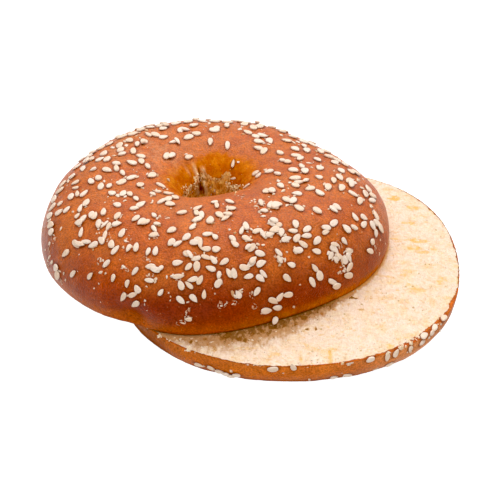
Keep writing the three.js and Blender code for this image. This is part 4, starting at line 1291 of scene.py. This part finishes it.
c_low, n_low, a_low = faces_of(bottom)
angle_low = np.arctan2(c_low[:, 1] - LOWER_AT[1], c_low[:, 0] - LOWER_AT[0])
sides = ((c_low[:, 2] > 2.2) & (c_low[:, 2] < 8.3) & (np.hypot(c_low[:, 0] - LOWER_AT[0], c_low[:, 1] - LOWER_AT[1]) > 44) & (n_low[:, 2] < 0.3)).astype(float)
edge_low = ((EYE - c_low) * n_low).sum(1) / np.linalg.norm(EYE - c_low, axis=1)
away_low = hidden_share(c_low, n_low, sides) * (edge_low < -0.30)
patchy = smooth(0.4 + np.sin(angle_low * 3 + 1.0) * 0.5 + 0.3 * np.sin(angle_low * 7))
for p, n in scatter(c_low, n_low, a_low, sides * away_low * (0.15 + patchy), 60, rng, taken, 1.5, 0.3):
    d = rng.normal(0, 1, 3) * np.array([1, 1, 0.4])
    d -= n * (d @ n)
    d /= np.linalg.norm(d)
    items.append(seed_item(p - n * 0.12, d, n, float(np.clip(rng.normal(2.95, 0.2), 2.5, 3.4))))
items = spread_out(items)


def seed_material():
    g = Graph("sesame_seed")
    tone = g.mask("tone")
    base = g.mix(g.ramp(tone, 0.1, 0.95), SEED_LIGHT, SEED_TAN)
    base = g.mix(g.math("MULTIPLY", g.ramp(g.mask("along"), 0.80, 1.0), 0.55), base, SEED_TIP)
    base = g.mix(g.math("MULTIPLY", g.mask("edge"), 0.65), base, SEED_EDGE)
    fine = g.noise(0.5, 3.0, 0.6)
    shade = g.ramp(fine, 0.25, 0.75, 0.92, 1.05)
    grey = g.add("ShaderNodeCombineColor", {0: shade, 1: shade, 2: shade}).outputs[0]
    base = g.mix(1.0, base, grey, "MULTIPLY")
    normal = g.bump(fine, 0.06)
    return g.surface({"Base Color": base, "Roughness": g.ramp(fine, 0.2, 0.8, 0.42, 0.58), "Normal": normal,
                      "IOR": 1.45, "Specular IOR Level": 0.4})


SEED_LIGHT = (0.82, 0.67, 0.55)
SEED_TAN = (0.79, 0.59, 0.43)
SEED_TIP = (0.68, 0.42, 0.24)
SEED_EDGE = (0.93, 0.80, 0.66)

verts, quads, tris, uv, masks = teardrops(items, 8, 16, 0.02, number=1, flat_top=(0.5, 0.52, 0.16))
seeds = mesh_object("sesame_seeds", verts, quads, tris, uv, masks, seed_material())
print("seeds", len(items), "triangles", 2 * len(quads) + len(tris))


def darken_round_seeds(obj, things):
    """Marks the crust close round each seed, painted darker for the shade at its edge and where it has baked darker
    against it.
    """
    mesh = obj.data
    points = np.zeros(len(mesh.vertices) * 3)
    mesh.vertices.foreach_get("co", points)
    points = points.reshape(-1, 3) * 1000
    tree = KDTree(len(points))
    for k, p in enumerate(points):
        tree.insert(p, k)
    tree.balance()
    mark = np.zeros(len(points))
    for c, a, n, L, W, T in things:
        near = [k for _, k, _ in tree.find_range(c, 0.5 * L + 1.2)]
        if not near:
            continue
        d = points[near] - c
        along, across = d @ a, d @ np.cross(n, a)
        q = np.hypot(along / (0.5 * L + 0.18), across / (0.5 * W + 0.18))
        reach = (q - 1) * 0.5 * (L + W) / 2
        mark[near] = np.maximum(mark[near], smooth((0.55 - reach) / 0.55) * (np.abs(d @ n) < 1.3))
    mesh.attributes["seed_dent_shade"].data.foreach_set("value", mark)


darken_round_seeds(top, items)
darken_round_seeds(bottom, items)


# --------------------------------------------------- broken seeds and husks
def soft_items(which, spots, low, high, flat, lift, seed):
    """Bits scattered round pixels of the view: [(x, y, px across, how many)]."""
    r = np.random.default_rng(seed)
    out = []
    for x, y, wide, count in spots:
        for _ in range(count):
            q = r.normal(0, 0.5, 2) * wide
            got = lay(which, x + q[0], y + q[1], r.uniform(0, 180), 5, 0.1)
            if not got:
                continue
            p, a, n, _ = got
            L = r.uniform(low, high)
            n2 = n + r.normal(0, 0.25, 3)
            n2 /= np.linalg.norm(n2)
            a = a - n2 * (a @ n2)
            a /= np.linalg.norm(a)
            out.append((p + n * lift * L, a, n2, L, L * r.uniform(0.45, 0.85), L * flat * r.uniform(0.7, 1.3)))
    return out


SMALL_BITS = (
    (240, 129.2, 165, 4.3, 3), (146.9, 130, 53, 2.7, 1.5), (139.5, 132.2, 160, 2.3, 1.8),
    (243.2, 133.8, 6, 3.4, 2.7), (281.3, 135.1, 57, 2.5, 1.4), (136.6, 135.6, 151, 4.1, 1.5),
    (268.8, 135.5, 11, 2.7, 1.2), (124.8, 141.2, 39, 3.9, 1.2), (298.2, 141.9, 46, 3.2, 2),
    (293.8, 142.2, 37, 4.1, 1.5), (264.1, 143.1, 168, 3.4, 1.2), (268.5, 144.3, 25, 4.3, 1.3),
    (126.4, 145.2, 70, 3.5, 2), (112.5, 147.4, 28, 5.8, 4.1), (316.4, 150.9, 52, 2.6, 1.7),
    (317, 154.5, 0, 2.5, 1.2), (114.1, 155.5, 176, 4.9, 2.2), (238, 162.2, 20, 2.6, 2.0), (41.9, 229.8, 93, 5.2, 1.7),
    (309.4, 162.9, 6, 7.2, 2.2), (338.6, 164.7, 2, 2.6, 1.6), (311.7, 167.2, 17, 2.8, 2.1),
    (265.1, 169.9, 35, 2.8, 1.6), (153.2, 170.6, 0, 2.7, 1.2), (147.4, 174, 130, 3.1, 1.2),
    (157.6, 175.1, 102, 3.4, 1.2), (137.2, 176.8, 141, 3.9, 1.5), (125.2, 177.1, 154, 3.9, 1.7),
    (233, 178.4, 172, 5.8, 2.0), (168.4, 179.8, 54, 4.4, 2.9), (358.1, 179.9, 126, 6.6, 3.1),
    (67.8, 181.3, 71, 5.6, 3.8), (278.2, 180.7, 60, 2.8, 2.2), (104.2, 181.1, 55, 2.5, 1.3),
    (117, 182, 126, 2.9, 1.2), (355.6, 182.6, 85, 3.2, 1.4), (289.9, 182.4, 135, 2.5, 1.5),
    (324.3, 183.8, 120, 3.4, 1.3), (142.6, 187.6, 168, 3.4, 1.2), (362.3, 188, 2, 6.1, 1.8),
    (283.2, 190.5, 144, 4.8, 2.3), (325.5, 189.9, 40, 2.9, 1.2), (273.8, 193.8, 154, 3.6, 1.5),
    (117.8, 195.4, 77, 3.7, 2.2), (358.8, 195.2, 24, 2.7, 1.4), (125.1, 196.5, 138, 3.5, 1.6),
    (151.3, 195.8, 146, 3, 1.2), (294.2, 195.7, 135, 2, 1.6), (124.8, 200.6, 151, 4.1, 3),
    (363.9, 199.8, 90, 2.7, 1.2), (254.7, 199.7, 135, 2, 1.6), (287.3, 205.2, 135, 3.2, 1.7),
    (291.1, 204.9, 7, 5.2, 1.3), (256.2, 206.1, 7, 5.4, 2.3), (371.3, 206.2, 131, 3.4, 2),
    (85.9, 206.9, 157, 3.1, 1.2), (269, 208.7, 55, 2.6, 1.9), (270.6, 211.6, 153, 2, 2),
    (373.1, 212.4, 57, 3.6, 1.4), (263.4, 216.1, 180, 5.8, 2.7), (49, 220.5, 164, 3.5, 2.3),
    (195.2, 222.2, 167, 3.2, 1.7), (102.2, 222.8, 90, 2.1, 1.7), (212.5, 223.2, 148, 3.2, 1.4),
    (79.6, 226, 158, 3.4, 1.3), (60.8, 228.5, 110, 4.7, 2.1), (101.2, 227.7, 167, 3, 1.6),
    (251.4, 229.2, 39, 4.2, 2.5), (98.4, 229.4, 173, 2.2, 1.5), (229.4, 229.5, 90, 2.2, 1.7),
    (235, 232.8, 105, 2.7, 2.2), (265.3, 232.4, 87, 2.8, 1.6), (250.8, 236.8, 17, 2.8, 2.1),
    (271.3, 237, 160, 3.6, 1.7), (380.5, 240, 90, 2.5, 1.2), (125.6, 241, 23, 3.4, 1.9),
    (246.1, 241.1, 12, 2.8, 1.4), (49.2, 243.8, 135, 3.1, 2), (256.9, 247.5, 79, 3, 2.2),
    (294.6, 247.4, 150, 2.5, 1.7), (92.2, 247.9, 178, 3.8, 1.2), (204.4, 253.1, 84, 3.6, 1.5),
    (295.5, 253.1, 33, 3.5, 1.5), (379.6, 253.8, 97, 3.8, 1.2), (49.2, 257.2, 116, 4.9, 1.5),
    (216.4, 257.8, 60, 2.4, 1.5), (285.2, 259.8, 95, 4.8, 1.7), (283.4, 259.1, 102, 2.8, 1.4),
    (51.6, 262.4, 132, 3.9, 2.3), (279.6, 264.8, 126, 3.8, 2.5), (343.8, 266, 48, 2.9, 1.9),
    (123.3, 266.6, 32, 4.6, 2.8), (345.2, 268.9, 42, 3, 2.1), (59.1, 271.1, 46, 2.8, 1.3),
    (100.5, 272, 164, 4.6, 2.1), (149, 274.6, 83, 3.3, 2.2), (166.7, 276.9, 87, 4, 1.6),
    (65.4, 280.2, 90, 2.7, 1.2), (221.8, 282.2, 90, 5.5, 1.2), (146.5, 286.6, 21, 2.6, 1.3),
    (232.8, 293.9, 68, 7.9, 2.8), (252.4, 292.2, 72, 2.7, 1.3), (127.5, 295.8, 135, 2.3, 1.4),
    (225.3, 304.3, 130, 3.5, 1.2), (232.9, 304, 144, 3.1, 1.4), (144.5, 304.5, 90, 2.5, 1.2),
    (221.4, 306, 4, 3.1, 1.6), (294, 307.1, 49, 2.8, 1.5), (186.5, 313, 90, 2.5, 1.2),
    (181.3, 322.4, 175, 2.8, 1.6),
)
BIT_CLUSTERS = (
    (228, 208, 5, 4), (213, 190, 4, 2), (262, 212, 5, 3), (271, 224, 4, 2), (245, 231, 5, 2), (258, 238, 6, 4),
    (282, 236, 6, 5), (268, 233, 5, 3), (292, 240, 5, 3), (248, 238, 5, 2), (280, 258, 5, 3), (333, 252, 6, 6),
    (344, 258, 7, 7), (350, 252, 6, 4), (346, 268, 5, 4), (340, 263, 4, 2), (102, 232, 6, 3), (110, 224, 5, 3),
    (155, 225, 6, 3), (158, 217, 4, 2), (126, 245, 5, 2), (202, 218, 5, 2), (196, 226, 5, 2), (100, 262, 4, 2),
    (47, 262, 3, 2), (60, 272, 3, 2), (57, 268, 3, 2), (172, 196, 5, 2), (160, 191, 5, 2), (148, 200, 5, 2),
    (305, 205, 5, 2), (310, 184, 6, 2), (300, 176, 6, 2), (288, 188, 4, 2), (318, 163, 5, 2), (296, 160, 5, 2),
    (245, 128, 6, 3), (262, 127, 6, 4), (205, 124, 8, 3), (180, 125, 8, 2), (270, 140, 6, 2), (250, 200, 6, 2),
    (264, 203, 5, 2), (184, 152, 4, 1), (350, 175, 5, 2), (374, 215, 4, 2), (240, 292, 3, 2), (189, 300, 3, 1),
    (170, 276, 5, 2), (155, 283, 4, 2), (165, 190, 4, 2), (181, 277, 4, 2), (120, 260, 4, 1), (90, 250, 5, 1))


def flecks_over(count, r):
    """Fine dust of broken seeds all over the crust, most of it out of view."""
    weight = a_top * crusty
    out = []
    for k in r.choice(len(a_top), size=count, p=weight / weight.sum()):
        n = n_top[k] + r.normal(0, 0.2, 3)
        n /= np.linalg.norm(n)
        a = np.cross(n, r.normal(0, 1, 3))
        a /= np.linalg.norm(a)
        L = r.uniform(0.35, 0.9)
        out.append((c_top[k] + n * 0.1 * L, a, n, L, L * r.uniform(0.5, 0.9), L * r.uniform(0.2, 0.5)))
    return out


bits = []
r_bits = np.random.default_rng(23)
for x, y, angle, px, wide in SMALL_BITS:
    got = lay("top", x, y, angle, px, 0.15)
    if got:
        p, a, n, L = got
        W = float(np.clip(L * wide / px, 0.35, 1.3))
        L = float(np.clip(L, 0.6, 2.4))
        bits.append((p + n * 0.10, a, n, L, min(W, 0.8 * L), r_bits.uniform(0.25, 0.45)))
for x, y, angle, px, wide in SPLIT_SEEDS:
    got = lay("top", x, y, angle, px, 0.5)
    if got:
        p, a, n, L = got
        broad = np.clip(wide / 6.5, 0.6, 1.2)
        side = np.cross(n, a)
        for part in (0, 2):         # slivers split off along its sides
            off = (part - 1) * r_bits.uniform(0.7, 0.95) * broad
            L2 = float(np.clip(L, 1.6, 4.0)) * r_bits.uniform(0.45, 0.8)
            turn_by = r_bits.normal(0, 0.22)
            a2 = a * math.cos(turn_by) + side * math.sin(turn_by)
            n2 = n + r_bits.normal(0, 0.2, 3)
            n2 /= np.linalg.norm(n2)
            a2 = a2 - n2 * (a2 @ n2)
            a2 /= np.linalg.norm(a2)
            bits.append((p + side * off + n * (0.30 + 0.15 * (part == 1)) + a * r_bits.normal(0, 0.25), a2, n2,
                         L2, r_bits.uniform(0.7, 1.0) * broad, r_bits.uniform(0.4, 0.6)))
bits += soft_items("top", BIT_CLUSTERS, 0.5, 1.35, 0.26, 0.10, 31)
bits += soft_items("bottom", ((440, 326, 5, 4), (425, 340, 5, 3), (410, 350, 5, 2), (228, 374, 8, 4), (300, 372, 20, 6),
                              (345, 375, 6, 2), (395, 362, 6, 2), (375, 369, 3, 2), (200, 364, 6, 1)), 0.6, 1.5, 0.30, 0.05, 33)
for x, y, angle, px, wide in ((350.2, 363.6, 170, 8, 0.8), (375.5, 369.3, 165, 6, 0.8), (349, 365.2, 160, 4, 0.6)):
    got = lay("bottom", x, y, angle, px, 0.1)
    if got:
        p, a, n, L = got
        bits.append((p + n * 0.05, a, n, float(np.clip(L, 0.8, 2.8)), wide, 0.35))
bits += flecks_over(150, r_bits)
verts, quads, tris, uv, masks = teardrops(bits, 5, 8, 0.30, number=2)


def bits_material():
    g = Graph("broken_seed")
    tone = g.mask("tone")
    base = g.mix(g.ramp(tone, 0.0, 0.7), (0.85, 0.70, 0.57), (0.80, 0.59, 0.42))
    base = g.mix(g.ramp(tone, 0.90, 0.98), base, (0.62, 0.34, 0.16))
    fine = g.noise(0.35, 3.0, 0.6)
    shade = g.ramp(fine, 0.25, 0.75, 0.88, 1.06)
    grey = g.add("ShaderNodeCombineColor", {0: shade, 1: shade, 2: shade}).outputs[0]
    base = g.mix(1.0, base, grey, "MULTIPLY")
    return g.surface({"Base Color": base, "Roughness": g.ramp(fine, 0.2, 0.8, 0.40, 0.60),
                      "Normal": g.bump(fine, 0.08), "IOR": 1.45, "Specular IOR Level": 0.5})


broken = mesh_object("broken_seeds", verts, quads, tris, uv, masks, bits_material())
print("bits", len(bits), "triangles", 2 * len(quads) + len(tris))

HUSKS = (  # thin skins of seeds: x, y, direction, px
    (222.5, 304.5, 145, 10), (233, 303.5, 155, 8), (252.5, 306, 20, 9), (189.5, 312, 130, 9), (188.5, 318.5, 10, 8),
    (181, 323, 170, 9), (279, 257.5, 70, 12), (100, 262, 70, 8), (127, 238, 50, 8), (125, 270, 10, 7),
    (60, 281, 40, 6), (146, 260, 40, 8), (252, 295, 60, 6), (120, 218, 120, 8), (153, 238, 20, 8), (53, 239, 80, 8),
    (47, 264, 60, 6), (196, 255, 30, 7), (215, 195, 0, 8), (178, 278, 60, 7), (150, 275, 0, 7), (339, 245, 60, 9),
    (376.6, 249, 66, 10), (48.5, 247, 100, 8), (49.5, 254, 100, 7), (241, 196, 170, 9), (260, 205, 20, 7), (165, 218, 10, 8), (108, 238, 100, 7), (346, 273, 90, 5), (340, 271, 10, 6))
husks = []
r_husk = np.random.default_rng(41)


def husk_outline(p, a, n, L, W):
    """What shows of a husk baked on: broken bits of its raised outline."""
    side = np.cross(n, a)
    start = r_husk.uniform(0, 2 * PI)
    for k in range(r_husk.integers(3, 6)):
        f = start + k * 2 * PI / 6 + r_husk.normal(0, 0.15)
        at = p + a * (0.5 * L * math.cos(f)) + side * (0.5 * W * math.sin(f))
        along = -a * (L * math.sin(f)) + side * (W * math.cos(f))
        long = np.linalg.norm(along) * 0.5
        out = n + r_husk.normal(0, 0.12, 3)
        out /= np.linalg.norm(out)
        along = along - out * (along @ out)
        husks.append((at + n * 0.05, along / np.linalg.norm(along), out, float(np.clip(long * r_husk.uniform(0.6, 1.1), 0.4, 1.5)),
                      r_husk.uniform(0.22, 0.42), r_husk.uniform(0.16, 0.26)))
    # and a scrap of its skin
    turned = a * math.cos(start) + side * math.sin(start)
    husks.append((p + turned * (0.22 * L) - n * 0.03, turned, n, 0.55 * L, 0.42 * W, 0.22))


for x, y, angle, px in HUSKS:
    got = lay("top", x, y, angle, px, 0.1)
    if got:
        p, a, n, L = got
        L = float(np.clip(L, 2.0, 3.3))
        husk_outline(p, a, n, L, L * r_husk.uniform(0.5, 0.68))
r_h2 = np.random.default_rng(43)
hid = crusty * away * a_top
for k in r_h2.choice(len(a_top), size=12, p=hid / hid.sum()):
    n = n_top[k]
    a = np.cross(n, r_h2.normal(0, 1, 3))
    husk_outline(c_top[k], a / np.linalg.norm(a), n, r_h2.uniform(2.2, 3.2), 1.8)
verts, quads, tris, uv, masks = teardrops(husks, 5, 8, 0.25, number=3)


def husk_material():
    g = Graph("seed_husk")
    fine = g.noise(0.6, 3.0, 0.6)
    base = g.mix(g.ramp(fine, 0.35, 0.65), (0.42, 0.15, 0.055), (0.70, 0.42, 0.27))
    base = g.mix(g.ramp(g.mask("tone"), 0.5, 0.9), base, (0.80, 0.58, 0.42))
    return g.surface({"Base Color": base, "Roughness": g.ramp(fine, 0.2, 0.8, 0.28, 0.42),
                      "Normal": g.bump(fine, 0.10), "IOR": 1.45, "Specular IOR Level": 0.7})


skins = mesh_object("seed_husks", verts, quads, tris, uv, masks, husk_material())


# --------------------------------------------------------------------- crumbs
def slope_at(t, z):
    """A point and its directions on the wall of the hole, at an angle and a height."""
    H = UPPER["crest_height"] + waves(UPPER["crest"], t)
    y = np.clip((z - UPPER["widest"]) / (H - UPPER["widest"]), 0, 1)
    u = math.acos(y ** (UPPER["lip"] / 2)) / (PI / 2)
    f = lambda uu, tt: np.array([float(v) for v in upper_point("slope", np.float64(uu), np.float64(tt))])
    p = f(u, t)
    down = f(min(u + 0.02, 0.999), t) - p
    round_ = f(u, t + 0.02) - p
    n = np.cross(round_, down)
    n /= np.linalg.norm(n)
    axis = np.array([UPPER["hole_x"], UPPER["hole_y"], 0])
    if n @ (axis - p) < 0:
        n = -n
    return p + UPPER_AT, down / np.linalg.norm(down), n


r_c = np.random.default_rng(59)
crumbs = []
for k in range(240):                    # torn flakes along the edge of the crust in the hole
    t = r_c.uniform(0, 2 * PI)
    z = float(fringe_height(np.array(t))) + r_c.normal(-0.15, 0.40) + 0.55 * float(noise(np.array([9 * math.cos(t), 9 * math.sin(t), 0.0]), 5))
    p, down, n = slope_at(t, z)
    a = down + r_c.normal(0, 0.5, 3)
    n2 = n + r_c.normal(0, 0.5, 3)
    n2 /= np.linalg.norm(n2)
    a = a - n2 * (a @ n2)
    a /= np.linalg.norm(a)
    L = r_c.uniform(0.25, 0.7)
    crumbs.append((p + n * r_c.uniform(-0.30, 0.0), a, n2, L, L * r_c.uniform(0.3, 0.7), L * r_c.uniform(0.2, 0.45)))
fringe_count = len(crumbs)
for k in range(260):                    # ragged crumb in the open wall below, painted brown for the shade in the hole
    t = r_c.uniform(0, 2 * PI)
    z = r_c.uniform(3.5, float(fringe_height(np.array(t))) - 0.3)
    p, down, n = slope_at(t, z)
    n2 = n + r_c.normal(0, 0.5, 3)
    n2 /= np.linalg.norm(n2)
    a = down + r_c.normal(0, 0.4, 3)
    a = a - n2 * (a @ n2)
    a /= np.linalg.norm(a)
    L = r_c.uniform(0.5, 1.5)
    crumbs.append((p - n * 0.62, a, n2, L, L * r_c.uniform(0.25, 0.5), L * r_c.uniform(0.2, 0.4)))
hole_count = len(crumbs)


def crumb_spot(x, y, L, which="bottom"):
    got = lay(which, x, y, r_c.uniform(0, 180), 5, 0.1)
    if got:
        p, a, n, _ = got
        crumbs.append((p + n * 0.12 * L, a, n, L, L * r_c.uniform(0.6, 0.9), L * r_c.uniform(0.4, 0.7)))


for x, y, wide, count in ((403, 346.5, 5, 18), (411, 341.5, 5, 14), (418, 336, 4, 6), (160, 336, 3, 5), (175, 341, 5, 6), (190, 349, 6, 8),
                          (345, 357, 14, 8), (385, 350, 8, 8), (300, 357, 20, 8), (250, 356, 15, 8),
                          (290, 322, 8, 2), (318, 315, 5, 2), (338, 303, 4, 2), (356, 292, 5, 3)):
    for _ in range(count):
        q = r_c.normal(0, 0.5, 2) * wide
        crumb_spot(x + q[0], y + 0.5 * q[1], r_c.uniform(0.35, 0.95))
loose_count = len(crumbs)
for x, y, wide, high, count in ((235, 188.5, 9, 5, 54), (229, 185, 4, 5, 14), (188.5, 189.5, 7, 4, 40), (195.5, 181.5, 3, 7, 24),
                                (201, 178, 4, 4, 6)):       # pale torn flakes at the two ends of the open wall
    for _ in range(count):
        q = r_c.normal(0, 0.42, 2) * (wide, high)
        got = lay("top", x + q[0], y + q[1] - 0.35 * abs(q[0]), r_c.uniform(0, 180), 5, 0.1)
        if got:
            p, a, n, _ = got
            n2 = n + r_c.normal(0, 0.5, 3)
            n2 /= np.linalg.norm(n2)
            a = a - n2 * (a @ n2)
            a /= np.linalg.norm(a)
            L = r_c.uniform(0.35, 0.95)
            crumbs.append((p + n * r_c.uniform(-0.05, 0.15) * L, a, n2, L, L * r_c.uniform(0.35, 0.7), L * r_c.uniform(0.15, 0.3)))
pale_count = len(crumbs)
# a grain everywhere on the cut face of the bottom half that lies open
open_cut = (n_low[:, 2] > 0.6) & (c_low[:, 2] > 9.0)
free = open_cut & (np.hypot(c_low[:, 0] - UPPER_AT[0], c_low[:, 1] - UPPER_AT[1]) > 56.5)
w = a_low * free
for k in r_c.choice(len(a_low), size=420, p=w / w.sum()):
    n = n_low[k] + r_c.normal(0, 0.2, 3)
    n /= np.linalg.norm(n)
    a = np.cross(n, r_c.normal(0, 1, 3))
    a /= np.linalg.norm(a)
    L = r_c.uniform(0.3, 0.8)
    crumbs.append((c_low[k] + n * 0.02, a, n, L, L * r_c.uniform(0.5, 0.9), L * r_c.uniform(0.25, 0.5)))
verts, quads, tris, uv, masks = teardrops(crumbs, 5, 8, 0.28, number=4)
verts = jagged(verts, crumbs, 0.35, 61)
each = len(verts) // len(crumbs)
order = np.repeat(np.arange(len(crumbs)), each)
# painted: the crumbs deep in the hole brown for its shade, those along its torn edge warm for the light thrown back
# from the golden wall
masks["warm"] = np.where(order < fringe_count, 0.5, np.where(order < hole_count, 1.0, np.where((order >= loose_count) & (order < pale_count), 0.15, 0.0)))


def crumbs_material():
    g = Graph("loose_crumb")
    tone = g.mask("tone")
    base = g.mix(g.ramp(tone, 0.2, 1.0), (0.92, 0.77, 0.59), (0.86, 0.64, 0.40))
    base = g.mix(g.ramp(g.mask("warm"), 0.05, 0.15), base, (1.0, 0.80, 0.47))
    torn = g.mix(tone, (0.90, 0.62, 0.29), (0.84, 0.48, 0.17))
    brown_shade = g.mix(tone, (0.66, 0.34, 0.09), (0.40, 0.15, 0.025))
    base = g.mix(g.ramp(g.mask("warm"), 0.15, 0.45), base, torn)
    base = g.mix(g.ramp(g.mask("warm"), 0.6, 1.0), base, brown_shade)
    fine = g.noise(0.4, 3.0, 0.6)
    shade = g.ramp(fine, 0.25, 0.75, 0.86, 1.05)
    grey = g.add("ShaderNodeCombineColor", {0: shade, 1: shade, 2: shade}).outputs[0]
    base = g.mix(1.0, base, grey, "MULTIPLY")
    return g.surface({"Base Color": base, "Roughness": g.ramp(fine, 0.2, 0.8, 0.85, 0.98),
                      "Normal": g.bump(fine, 0.12), "IOR": 1.45, "Specular IOR Level": 0.3})


crumb_obj = mesh_object("bread_crumbs", verts, quads, tris, uv, masks, crumbs_material())
crumb_obj.data.polygons.foreach_set("use_smooth", np.zeros(len(crumb_obj.data.polygons), bool))
print("crumbs", len(crumbs), "triangles", 2 * len(quads) + len(tris))

# ---------------------------------------------------------------- where it rides
for piece in (top, bottom, seeds, broken, skins, crumb_obj):
    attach(piece, "root")
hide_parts("top_half")
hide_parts("bottom_half")

# ----------------------------------------------------------- floor, light, world
def plane(name, z, base, glow):
    mesh = bpy.data.meshes.new(name)
    mesh.from_pydata([(-4, -4, z), (4, -4, z), (4, 4, z), (-4, 4, z)], [], [(0, 1, 2, 3)])
    obj = bpy.data.objects.new(name, mesh)
    bpy.context.scene.collection.objects.link(obj)
    g = Graph("pale_" + name)
    shade = g.ramp(g.noise(120.0, 2.0), 0.0, 1.0, base - 0.01, base + 0.01)
    g.surface({"Base Color": g.add("ShaderNodeCombineColor", {0: shade, 1: shade, 2: shade}).outputs[0],
               "Roughness": 0.9, "Specular IOR Level": 0.1, "Emission Color": (1.0, 1.0, 1.0), "Emission Strength": glow})
    mesh.materials.append(g.material)
    obj.visible_glossy = False
    return obj


# the floor is white to look at, and throws back less light than that from below
floor = plane("floor", -0.0002, 0.31, 1.0)
floor.visible_diffuse = False
under = plane("floor_bounce", -0.0006, 0.31, 0.60)
under.visible_camera = False


def area_light(name, at, size, power, colour=(1, 1, 1), aim=(0, 0, 0.01)):
    data = bpy.data.lights.new(name, "AREA")
    data.shape = "RECTANGLE"
    data.size, data.size_y = size
    data.energy = power
    data.color = colour
    obj = bpy.data.objects.new(name, data)
    obj.location = at
    obj.rotation_euler = (Vector(aim) - Vector(at)).to_track_quat("-Z", "Y").to_euler()
    bpy.context.scene.collection.objects.link(obj)
    return obj


area_light("softbox_back", (0.16, 0.62, 0.78), (1.0, 0.62), 7.2, (1.0, 0.975, 0.965))
over = area_light("softbox_over", (0.05, -0.22, 0.98), (1.1, 0.9), 6.0, (1.0, 0.98, 0.97))
over.visible_glossy = False
fill = area_light("fill_front", (0.0, -0.90, 0.42), (1.5, 0.6), 4.2, (1.0, 0.985, 0.97))
fill.visible_glossy = False
area_light("strip_left", (-1.05, 0.30, 0.34), (0.5, 0.7), 1.3, (1.0, 0.97, 0.96))

# the studio: dim in front, brighter behind and at the sides; plain white to look at
world = bpy.data.worlds.new("studio")
world.use_nodes = True
wt = world.node_tree
wt.nodes.clear()


def world_node(kind, inputs=None, **settings):
    node = wt.nodes.new(kind)
    for key, value in settings.items():
        setattr(node, key, value)
    for key, value in (inputs or {}).items():
        if isinstance(value, bpy.types.NodeSocket):
            wt.links.new(value, node.inputs[key])
        else:
            node.inputs[key].default_value = value
    return node


way = world_node("ShaderNodeSeparateXYZ", {0: world_node("ShaderNodeTexCoord").outputs["Generated"]})
behind = world_node("ShaderNodeMapRange", {"Value": way.outputs["Y"], "From Min": -0.6, "From Max": 0.7,
                                           "To Min": 0.13, "To Max": 0.56}, interpolation_type="SMOOTHSTEP")
low_down = world_node("ShaderNodeMapRange", {"Value": way.outputs["Z"], "From Min": -0.35, "From Max": 0.0,
                                             "To Min": 2.7, "To Max": 1.0}, interpolation_type="SMOOTHSTEP")
behind = world_node("ShaderNodeMath", {0: behind.outputs[0], 1: low_down.outputs[0]}, operation="MULTIPLY")
lit = world_node("ShaderNodeBackground", {"Color": (1, 1, 1, 1), "Strength": behind.outputs[0]})
plain = world_node("ShaderNodeBackground", {"Color": (1, 1, 1, 1), "Strength": 1.0})
looked_at = world_node("ShaderNodeLightPath").outputs["Is Camera Ray"]
both = world_node("ShaderNodeMixShader", {0: looked_at, 1: lit.outputs[0], 2: plain.outputs[0]})
world_node("ShaderNodeOutputWorld", {"Surface": both.outputs[0]})
bpy.context.scene.world = world
bpy.context.scene.view_settings.view_transform = "Standard"
bpy.context.scene.view_settings.look = "None"
bpy.context.scene.view_settings.exposure = 0.0
# a little more contrast in the darks, as the picture has
tone_curve = bpy.context.scene.view_settings
tone_curve.use_curve_mapping = True
tone_curve.curve_mapping.black_level = (0.011, 0.011, 0.011)
tone_curve.curve_mapping.update()
